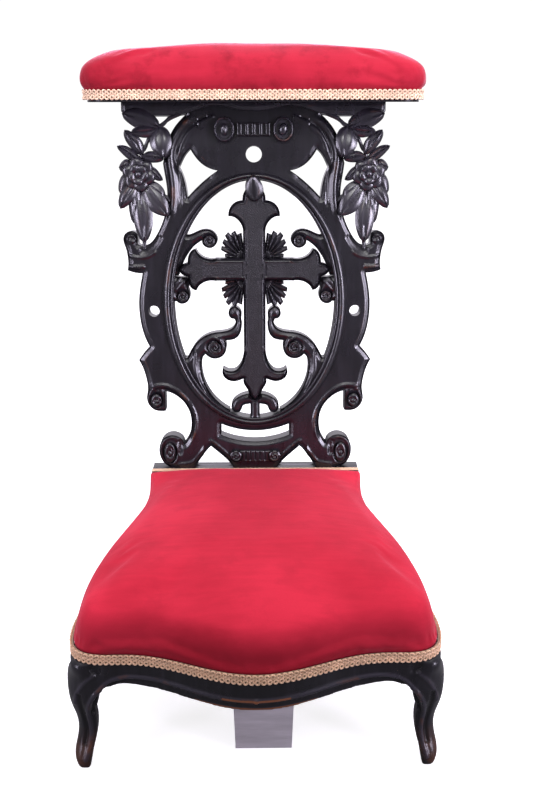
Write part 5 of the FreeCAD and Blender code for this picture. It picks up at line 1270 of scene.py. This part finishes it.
class CHAIR_OT_roses(bpy.types.Operator):
    """Carves the sprays of roses at the upper corners"""
    bl_idname = "chair.roses"
    bl_label = "Carve the rose sprays"

    # For each ring of petals: how many, their reach, width, rise, and the turn of the first.
    PETALS = ((6, 27.0, 20.0, 4.0, 0.3), (5, 17.5, 15.0, 9.0, 0.95))

    def execute(self, context):
        for side, word in SIDES:
            shape = bmesh.new()
            layer = shape.verts.layers.float.new("wear_and_sheen")
            for values in LEAVES:
                add_leaf(shape, layer, leaf_points(*values))
            for ends in STEMS:
                add_stem(shape, *ends)
            for count, reach, wide, forward, turn in self.PETALS:
                for n in range(count):
                    angle = turn + 2.0 * math.pi * n / count
                    tip = (ROSE[0] + reach * math.cos(angle), ROSE[1] + reach * math.sin(angle))
                    petal = leaf_points(ROSE, tip, wide, forward, 7, 9, 0.5)
                    add_leaf(shape, layer, brought_forward(petal, 4.5), 2.0)
            bud = bmesh.ops.create_uvsphere(
                shape, u_segments=12, v_segments=8, radius=5.6,
                matrix=Matrix.Translation((ROSE[0], -12.5, ROSE[1])))
            for vert in bud["verts"]:
                vert[layer] = 0.5
            ground = bmesh.ops.create_cone(
                shape, cap_ends=True, cap_tris=False, segments=20, radius1=13.0, radius2=10.0,
                depth=13.0, matrix=Matrix.Translation((ROSE[0], 1.0, ROSE[1]))
                @ Matrix.Rotation(math.pi / 2, 4, "X"))
            bmesh.ops.recalc_face_normals(
                shape, faces=list({f for v in ground["verts"] for f in v.link_faces}))
            shape.transform(BACK @ Matrix.Diagonal((side, 1.0, 1.0, 1.0)))
            if side < 0:
                bmesh.ops.reverse_faces(shape, faces=shape.faces)
            # The sprays take the paler copy of the ebony: painted highlight.
            hand_over(new_piece("rose_spray_" + word, shape), "ebony_painted_lit",
                      ["flower_spray_" + word], 50.0)
        return {"FINISHED"}


# ---------------------------------------------------------------------------------------------
# Operators: the upholstery
# ---------------------------------------------------------------------------------------------

VELVET_THICK = 0.0012


def outer_skin(name, nodes, voxel, low, rounds=4, more=()):
    """The outer skin of several parts taken together, cut off at a level if one is given."""
    copies = [node_copy(node, f"{name}_form_{k}") for k, node in enumerate(nodes)] + list(more)
    take(*copies)
    bpy.ops.object.join()
    piece = bpy.context.active_object
    piece.name = name
    piece.data.remesh_voxel_size = voxel
    bpy.ops.object.voxel_remesh()
    if low is not None:
        edit_all(piece)
        bpy.ops.mesh.bisect(plane_co=(0.0, 0.0, low), plane_no=(0.0, 0.0, 1.0), clear_inner=True)
        bpy.ops.object.mode_set(mode="OBJECT")
    shape = open_shape(piece)
    crown = max(shape.verts, key=lambda v: v.co.z)
    seen, edge = {crown}, [crown]
    while edge:
        edge = list(dict.fromkeys(w for v in edge for e in v.link_edges for w in e.verts
                                  if w not in seen))
        seen.update(edge)
    bmesh.ops.delete(shape, geom=[v for v in shape.verts if v not in seen], context="VERTS")
    sand(shape, [v for v in shape.verts if not v.is_boundary], rounds)
    close_shape(shape, piece)
    return piece


def swell_out(piece, nailed, limit, pressure=4.0, frames=20):
    """Lets the stuffing push the velvet out like cloth, held along its nailed edge."""
    held = piece.vertex_groups.new(name="nailed")
    held.add([v.index for v in piece.data.vertices if nailed(v.co)], 1.0, "REPLACE")
    before = [v.co.copy() for v in piece.data.vertices]
    cloth = piece.modifiers.new("Swell", "CLOTH")
    adjust(cloth.settings, quality=6, mass=0.25, tension_stiffness=12.0, compression_stiffness=12.0,
           bending_stiffness=0.4, vertex_group_mass="nailed", use_pressure=True,
           uniform_pressure_force=pressure)
    cloth.settings.effector_weights.gravity = 0.0
    cloth.collision_settings.use_collision = False
    adjust(cloth.point_cache, frame_start=1, frame_end=frames)
    for number in range(1, frames + 1):
        bpy.context.scene.frame_set(number)
    take(piece)
    bpy.ops.object.modifier_apply(modifier="Swell")
    for vert, old in zip(piece.data.vertices, before):
        move = vert.co - old
        if move.length > limit:
            vert.co = old + move * (limit / move.length)
    bpy.context.scene.frame_set(1)


# Gathers and dips to a metre, round the cushion and up it, and the depth of the dips.
GATHERS_ROUND, GATHERS_UP, DIPS, DIP_DEPTH = 62.0, 9.0, 11.0, 0.0011


def gather(piece, line, depth, reach):
    """Small gathers where the velvet is pulled down to its nails, and shallow dips above them."""
    shape = open_shape(piece)
    shape.normal_update()
    for vert in shape.verts:
        up = vert.co.z - line
        if 0.0 < up < reach and abs(vert.normal.z) < 0.8:
            fade = math.sin(math.pi * min(1.0, (up + 0.004) / reach)) * (1.0 - up / reach)
            sway = noise.noise(Vector((vert.co.x * GATHERS_ROUND, vert.co.y * GATHERS_ROUND,
                                       vert.co.z * GATHERS_UP)))
            vert.co += vert.normal * depth * fade * sway
        sag = noise.noise(vert.co * DIPS + Vector((3.1, 0.0, 0.0)))
        if up > 0.0:
            vert.co += vert.normal * DIP_DEPTH * sag
    close_shape(shape, piece)


def tuck_in(piece, line, depth):
    """Presses the velvet in below a line, where the braid is sewn over it."""
    shape = open_shape(piece)
    shape.normal_update()
    for vert in shape.verts:
        share = clamp((line + 0.0015 - vert.co.z) / 0.003)
        if share and abs(vert.normal.z) < 0.9:
            vert.co -= Vector((vert.normal.x, vert.normal.y, 0.0)).normalized() * depth * share
    close_shape(shape, piece)


def upholster(piece, finish, nodes):
    """Gives the velvet its thickness, inward, and lays it over its stuffing."""
    apply_tool(piece, "SOLIDIFY", thickness=VELVET_THICK, offset=-1.0)
    hand_over(piece, finish, nodes, 70.0)


class CHAIR_OT_rest(bpy.types.Operator):
    """Covers the arm rest in velvet"""
    bl_idname = "chair.rest"
    bl_label = "Upholster the arm rest"

    UNDERSIDE, NAILS, GATHERS = 0.8345, 0.846, 0.844

    def execute(self, context):
        rest = outer_skin("rest_cushion", ["rest_cover", "rest_padding", "rest_board"], 0.005,
                          self.UNDERSIDE)
        swell_out(rest, lambda co: co.z < self.NAILS, cloth_sizes().swell)
        apply_tool(rest, "SUBSURF", levels=1, render_levels=1)
        gather(rest, self.GATHERS, 0.0030, 0.030)
        upholster(rest, "velvet_painted_shade", ["rest_cover", "rest_padding"])
        return {"FINISHED"}


# Share of the half width past which a corner is filled out, and the room left below the ledge.
CORNER_FROM, UNDER_LEDGE, SOFT_STOP = 0.55, 0.0012, 0.005


def square_up(shape, rear, reach=0.065, step=0.005):
    """Fills the seat's rear corners out to its sides, and draws its crown down to the ledge."""
    widths = {}
    for vert in shape.verts:
        row = int((rear - vert.co.y) / step)
        widths[row] = max(widths.get(row, 0.0), abs(vert.co.x))
    for vert in shape.verts:
        back = rear - vert.co.y
        if back > reach:
            continue
        ease = 1.0 - back / reach
        ease *= ease * (3.0 - 2.0 * ease)
        place = back / step
        low = int(place)
        wide = widths[low] + (widths.get(low + 1, widths[low]) - widths[low]) * (place - low)
        out = abs(vert.co.x) / wide
        if out > CORNER_FROM:
            gap = max(0.0, (1.0 - out) / (1.0 - CORNER_FROM))
            full = wide * (1.0 - (1.0 - CORNER_FROM) * gap ** 2.2)
            vert.co.x = math.copysign(abs(vert.co.x) * (1.0 - ease) + full * ease, vert.co.x)
        limit = LEDGE - UNDER_LEDGE + 0.5 * back
        room = limit - vert.co.z
        if room < SOFT_STOP:
            vert.co.z = limit - max(0.0, room + SOFT_STOP) ** 2 / (4.0 * SOFT_STOP)


class CHAIR_OT_seat(bpy.types.Operator):
    """Covers the kneeling seat in velvet"""
    bl_idname = "chair.seat"
    bl_label = "Upholster the seat"

    UNDERSIDE, NAILS, REAR_NAILS, GATHERS, RUN_ON = 0.1655, 0.176, 0.166, 0.173, 0.017

    def execute(self, context):
        parts = ["seat_cover", "seat_stuffing", "seat_hessian", "seat_webbing", "front_rail",
                 "inner_rail", "side_rail_left", "side_rail_right", "front_leg_left",
                 "front_leg_right", "rear_cleat"]
        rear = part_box("seat_cover")[1].y
        beyond = node_copy("seat_cover", "seat_run_on")
        beyond.data.transform(Matrix.Translation((0.0, self.RUN_ON, 0.0)))
        seat = outer_skin("seat_cushion", parts, 0.0055, self.UNDERSIDE, more=[beyond])
        shape = open_shape(seat)
        for vert in shape.verts:
            vert.co.y = min(vert.co.y, rear)
        square_up(shape, rear)
        at_rear = [v for v in shape.verts if v.co.y > rear - 0.0005]
        bmesh.ops.remove_doubles(shape, verts=at_rear, dist=0.0018)
        close_shape(shape, seat)
        swell_out(seat, lambda co: co.z < self.NAILS or co.y > self.REAR_NAILS, cloth_sizes().swell)
        apply_tool(seat, "SUBSURF", levels=1, render_levels=1)
        gather(seat, self.GATHERS, 0.0020, 0.034)
        tuck_in(seat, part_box("seat_braid")[1].z - 0.0015, 0.0016)
        upholster(seat, "velvet", ["seat_cover", "seat_stuffing"])
        return {"FINISHED"}


def band_line(node, centre, first, turn, height):
    """The outer line of a band at a height, found from outside, with outward directions."""
    shape = bmesh.new()
    shape.from_mesh(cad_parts[node].data)
    tree = BVHTree.FromBMesh(shape)
    shape.free()
    spots = []
    count = int(abs(turn) * 2)
    for k in range(count + 1):
        angle = math.radians(first + turn * k / count)
        out = Vector((math.cos(angle), math.sin(angle), 0.0))
        hit, normal, _, _ = tree.ray_cast(Vector((*centre, height)) + out * 0.9, -out)
        if hit is not None and (hit.xy - Vector(centre)).dot(out.xy) > 0.05:
            spots.append(hit)
    return spots


def even_steps(spots, pitch, closed):
    """Evenly spaced places along a line, each with its direction and its outward side."""
    line = [p.copy() for p in spots]
    if closed:
        line.append(line[0].copy())
    lengths = [0.0]
    for a, b in zip(line, line[1:]):
        lengths.append(lengths[-1] + (b - a).length)
    count = max(2, round(lengths[-1] / pitch))
    found = []
    k = 0
    for n in range(count + (0 if closed else 1)):
        want = lengths[-1] * n / count
        while k < len(lengths) - 2 and lengths[k + 1] < want:
            k += 1
        share = (want - lengths[k]) / max(1e-9, lengths[k + 1] - lengths[k])
        found.append(line[k].lerp(line[k + 1], share))
    places = []
    for n, place in enumerate(found):
        after = found[(n + 1) % len(found)] if closed else found[min(n + 1, len(found) - 1)]
        before = found[n - 1] if closed or n else found[0]
        way = (after - before).normalized()
        places.append((place, way, Vector((way.y, -way.x, 0.0)).normalized()))
    return places


def sweep_band(shape, places, section, closed):
    """Runs a small section along a line; the section's points are (outward, up)."""
    rings = [[shape.verts.new(place + out * a + UP * b) for a, b in section]
             for place, way, out in places]
    count = len(section)
    faces = []
    pairs = list(zip(rings, rings[1:])) + ([(rings[-1], rings[0])] if closed else [])
    for low, high in pairs:
        for n in range(count):
            after = (n + 1) % count
            faces.append(shape.faces.new((low[n], low[after], high[after], high[n])))
    if not closed:
        faces += [shape.faces.new(rings[0]), shape.faces.new(rings[-1])]
    bmesh.ops.recalc_face_normals(shape, faces=faces)


def round_cord(wide, high, count, out=0.0):
    """A cord's section, set a little out from the line."""
    turns = [2 * math.pi * n / count for n in range(count)]
    return [(wide * math.cos(a) + out, high * math.sin(a)) for a in turns]


# The braid's loops in metres: their radius, the thread's, how far the rows stand out, and how far
# above and below the middle; and their lean in degrees.
LOOP_RADIUS, THREAD_RADIUS, ROW_OUT, ROW_UP, ROW_LEAN = 0.0026, 0.0014, 0.0010, 0.00365, 9.0
# The ribbon behind them: its back, its front and half its height; and the cord between the rows.
RIBBON_BACK, RIBBON_FRONT, RIBBON_HALF = -0.0018, -0.0007, 0.0056
CORD_RADIUS, CORD_OUT = 0.00075, 0.0006


def gimp(name, spots, closed, node, finish):
    """Gimp braid: two rows of small loops on a ribbon, with a cord between the rows."""
    pitch = cloth_sizes().pitch
    clear_choice()
    bpy.ops.mesh.primitive_torus_add(major_segments=12, minor_segments=5,
                                     major_radius=LOOP_RADIUS, minor_radius=THREAD_RADIUS)
    loop = bpy.context.active_object
    points = [Vector((v.co.x * 0.98, v.co.y, v.co.z * 0.9)) for v in loop.data.vertices]
    quads = [tuple(p.vertices) for p in loop.data.polygons]
    bpy.data.objects.remove(loop)
    shape = bmesh.new()
    places = even_steps(spots, pitch, closed)
    for place, way, out in places:
        turned = Matrix((way, UP, out)).transposed()
        for row in (-1, 1):
            middle = place + way * (pitch * 0.25 * row) + out * ROW_OUT + UP * (row * ROW_UP)
            tip = Matrix.Rotation(math.radians(ROW_LEAN * row), 3, "X")
            verts = [shape.verts.new(middle + turned @ (tip @ p)) for p in points]
            for quad in quads:
                shape.faces.new([verts[i] for i in quad])
    # The ribbon is marked so that its thread is painted darker: painted shade in the holes between
    # the loops.
    layer = shape.verts.layers.float.new("ribbon")
    loops = set(shape.verts)
    ribbon = [(RIBBON_BACK, -RIBBON_HALF), (RIBBON_FRONT, -RIBBON_HALF),
              (RIBBON_FRONT, RIBBON_HALF), (RIBBON_BACK, RIBBON_HALF)]
    sweep_band(shape, places, ribbon, closed)
    for vert in shape.verts:
        vert[layer] = 0.0 if vert in loops else 1.0
    cord = round_cord(CORD_RADIUS, CORD_RADIUS, 6, CORD_OUT)
    sweep_band(shape, even_steps(spots, pitch / 2.0, closed), cord, closed)
    bmesh.ops.recalc_face_normals(shape, faces=shape.faces)
    return hand_over(new_piece(name, shape), finish, [node], 60.0)


def gimp_flat(name, spots, node):
    """The braid that lies flat on the ledge behind the seat: three cords that wave a little."""
    shape = bmesh.new()
    places = even_steps(spots, cloth_sizes().pitch / 2.0, False)
    for row in range(3):
        path = [(p + Vector((0.0, 0.0035 * row + 0.0004 * (-1) ** n, 0.0)), way, out)
                for n, (p, way, out) in enumerate(places)]
        sweep_band(shape, path, round_cord(0.0017, 0.0010, 8), False)
    return hand_over(new_piece(name, shape), "braid", [node], 60.0)


class CHAIR_OT_braids(bpy.types.Operator):
    """Sews the gimp braid round the seat and the arm rest"""
    bl_idname = "chair.braids"
    bl_label = "Sew the braid"

    def execute(self, context):
        low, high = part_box("rest_braid")
        middle = (low + high) / 2.0
        rest = band_line("rest_braid", tuple(middle.xy), -90.0, 359.0, middle.z)
        gimp("rest_gimp", rest, True, "rest_braid", "braid_pale")
        low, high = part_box("seat_braid")
        seat = band_line("seat_braid", (0.0, -0.03), -230.0, 280.0, (low.z + high.z) / 2.0)
        gimp("seat_gimp", seat, False, "seat_braid", "braid")
        low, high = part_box("rear_braid")
        middle = (low + high) / 2.0
        count = 24
        line = [Vector((low.x + (high.x - low.x) * n / count, middle.y - 0.004, middle.z))
                for n in range(count + 1)]
        gimp_flat("rear_gimp", line, "rear_braid")
        return {"FINISHED"}


# ---------------------------------------------------------------------------------------------
# Operator: the stage
# ---------------------------------------------------------------------------------------------

def paper_white():
    """Seamless paper: even white where it is seen, and dim where the polish would mirror it."""
    look = Finish("studio_paper")
    tone = tuple(studio().paper)
    shade = look.ramp(look.clouds(1.5, 2.0), (0.3, tinted(tone, 0.985)), (0.7, tone))
    seen = look.add("ShaderNodeLightPath").outputs["Is Camera Ray"]
    look.paint(Base_Color=look.blend(seen, tinted(tone, 0.19), shade),
               Emission_Strength=look.level(seen, 0.0, 1.0, 0.02, studio().glow))
    fill(look.shader, Roughness=0.9, Emission_Color=(1.0, 1.0, 1.0, 1.0))
    return look.material


def soft_room():
    """White to the eye; to the polish, a room bright behind and overhead and dim in front."""
    world = bpy.data.worlds.new("soft_room")
    world.use_nodes = True
    tree = world.node_tree
    ground = tree.nodes["Background"]

    def add(kind, **values):
        return adjust(tree.nodes.new(kind), **values)

    def eased(source, low, high, top):
        node = fill(add("ShaderNodeMapRange", interpolation_type="SMOOTHSTEP"),
                    From_Min=low, From_Max=high, To_Max=top)
        tree.links.new(source, node.inputs["Value"])
        return node.outputs["Result"]

    way = add("ShaderNodeSeparateXYZ")
    tree.links.new(add("ShaderNodeTexCoord").outputs["Generated"], way.inputs["Vector"])
    behind = eased(way.outputs["Y"], -0.1, 0.5, studio().behind)
    above = eased(way.outputs["Z"], 0.25, 0.95, studio().above)
    glow = add("ShaderNodeMath", operation="MAXIMUM")
    tree.links.new(behind, glow.inputs[0])
    tree.links.new(above, glow.inputs[1])
    lift = add("ShaderNodeMath", operation="ADD")
    lift.inputs[1].default_value = studio().front
    tree.links.new(glow.outputs["Value"], lift.inputs[0])
    eye = add("ShaderNodeLightPath").outputs["Is Camera Ray"]
    seen = add("ShaderNodeMix", data_type="FLOAT")
    tree.links.new(eye, seen.inputs["Factor"])
    tree.links.new(lift.outputs["Value"], seen.inputs["A"])
    seen.inputs["B"].default_value = 1.04
    tree.links.new(seen.outputs["Result"], ground.inputs["Strength"])
    tint = add("ShaderNodeMix", data_type="RGBA")
    tree.links.new(eye, tint.inputs["Factor"])
    tint.inputs["A"].default_value = (0.95, 0.91, 1.0, 1.0)
    tint.inputs["B"].default_value = (1.0, 1.0, 1.0, 1.0)
    tree.links.new(tint.outputs["Result"], ground.inputs["Color"])
    return world


def soft_box(name, place, aim, size, power, colour, spread):
    light = adjust(bpy.data.lights.new(name, "AREA"), shape="RECTANGLE", size=size[0],
                   size_y=size[1], energy=power * studio().power, color=colour,
                   spread=math.radians(spread))
    turn = (Vector(aim) - Vector(place)).to_track_quat("-Z", "Y").to_euler()
    adjust(put_in(name, light), location=place, rotation_euler=turn)


WHITE, LILAC = (1.0, 1.0, 1.0), (0.86, 0.80, 1.0)
# Place, aim, size, watts, colour and spread in degrees of each soft box.
SOFT_BOXES = {
    "overhead": ((0.20, -0.10, 2.35), (0.0, 0.0, 0.3), (2.2, 1.5), 33.0, WHITE, 180.0),
    "high_front": ((0.0, -1.5, 1.95), (0.0, 0.15, 0.85), (0.9, 0.5), 1.0, WHITE, 42.0),
    "strip_left": ((-1.15, -0.75, 0.80), (-0.1, 0.2, 0.6), (0.26, 1.5), 2.8, LILAC, 52.0),
    "strip_right": ((1.15, -0.75, 0.80), (0.1, 0.2, 0.6), (0.34, 1.5), 5.0, LILAC, 52.0),
    "over_the_back": ((0.0, 1.9, 1.9), (0.0, 0.0, 0.3), (2.0, 0.8), 20.0, LILAC, 180.0),
}


class CHAIR_OT_studio(bpy.types.Operator):
    """Sets up the paper sweep, soft light and camera"""
    bl_idname = "chair.studio"
    bl_label = "Set up the studio"

    def execute(self, context):
        scene = context.scene
        clear_choice()
        bpy.ops.mesh.primitive_plane_add(size=1.0)
        paper = context.active_object
        paper.name = "paper_sweep"
        paper.data.transform(Matrix.Diagonal((14.0, 14.0, 1.0, 1.0)))
        paper.data.materials.append(paper_white())
        scene.world = soft_room()
        for name, values in SOFT_BOXES.items():
            soft_box(name, *values)

        camera = adjust(bpy.data.cameras.new("studio_camera"), sensor_fit="VERTICAL",
                        sensor_height=36.0, lens=40.0)
        turn = [math.radians(angle) for angle in (90.0 - 18.66, 0.05, -0.75)]
        scene.camera = adjust(put_in("studio_camera", camera), rotation_euler=turn,
                              location=(0.0011, LEDGE_FRONT - 1.3925, 0.8291))
        scene.view_settings.view_transform = "Standard"
        return {"FINISHED"}


class CHAIR_PT_workshop(bpy.types.Panel):
    """Lists the chair's jobs and sizes"""
    bl_idname = "CHAIR_PT_workshop"
    bl_label = "Prayer Chair"
    bl_space_type = "VIEW_3D"
    bl_region_type = "UI"
    bl_category = "Prayer Chair"

    def draw(self, context):
        for group in (wood(), cuts(), cloth_sizes(), studio()):
            box = self.layout.box()
            for name in group.bl_rna.properties.keys():
                if name not in ("rna_type", "name"):
                    box.prop(group, name)
        for job in JOBS:
            self.layout.operator(job.bl_idname)


JOBS = (CHAIR_OT_studio, CHAIR_OT_boards, CHAIR_OT_batten, CHAIR_OT_moulding, CHAIR_OT_cross,
        CHAIR_OT_fretwork, CHAIR_OT_ornaments, CHAIR_OT_roses, CHAIR_OT_frame, CHAIR_OT_rest,
        CHAIR_OT_seat, CHAIR_OT_braids)
SETTINGS = {"prayer_chair_wood": WoodFinish, "prayer_chair_cuts": CarvingSizes,
            "prayer_chair_cloth": Upholstery, "prayer_chair_studio": Studio}


def register():
    for kind in (*SETTINGS.values(), *JOBS, CHAIR_PT_workshop):
        bpy.utils.register_class(kind)
    for name, kind in SETTINGS.items():
        setattr(bpy.types.Scene, name, PointerProperty(type=kind))


def unregister():
    for name in SETTINGS:
        delattr(bpy.types.Scene, name)
    for kind in (CHAIR_PT_workshop, *reversed(JOBS), *SETTINGS.values()):
        bpy.utils.unregister_class(kind)


def main():
    register()
    for job in JOBS:
        group, name = job.bl_idname.split(".")
        if getattr(getattr(bpy.ops, group), name)() != {"FINISHED"}:
            raise RuntimeError(job.bl_label + " did not finish")


if __name__ == "__main__":
    main()
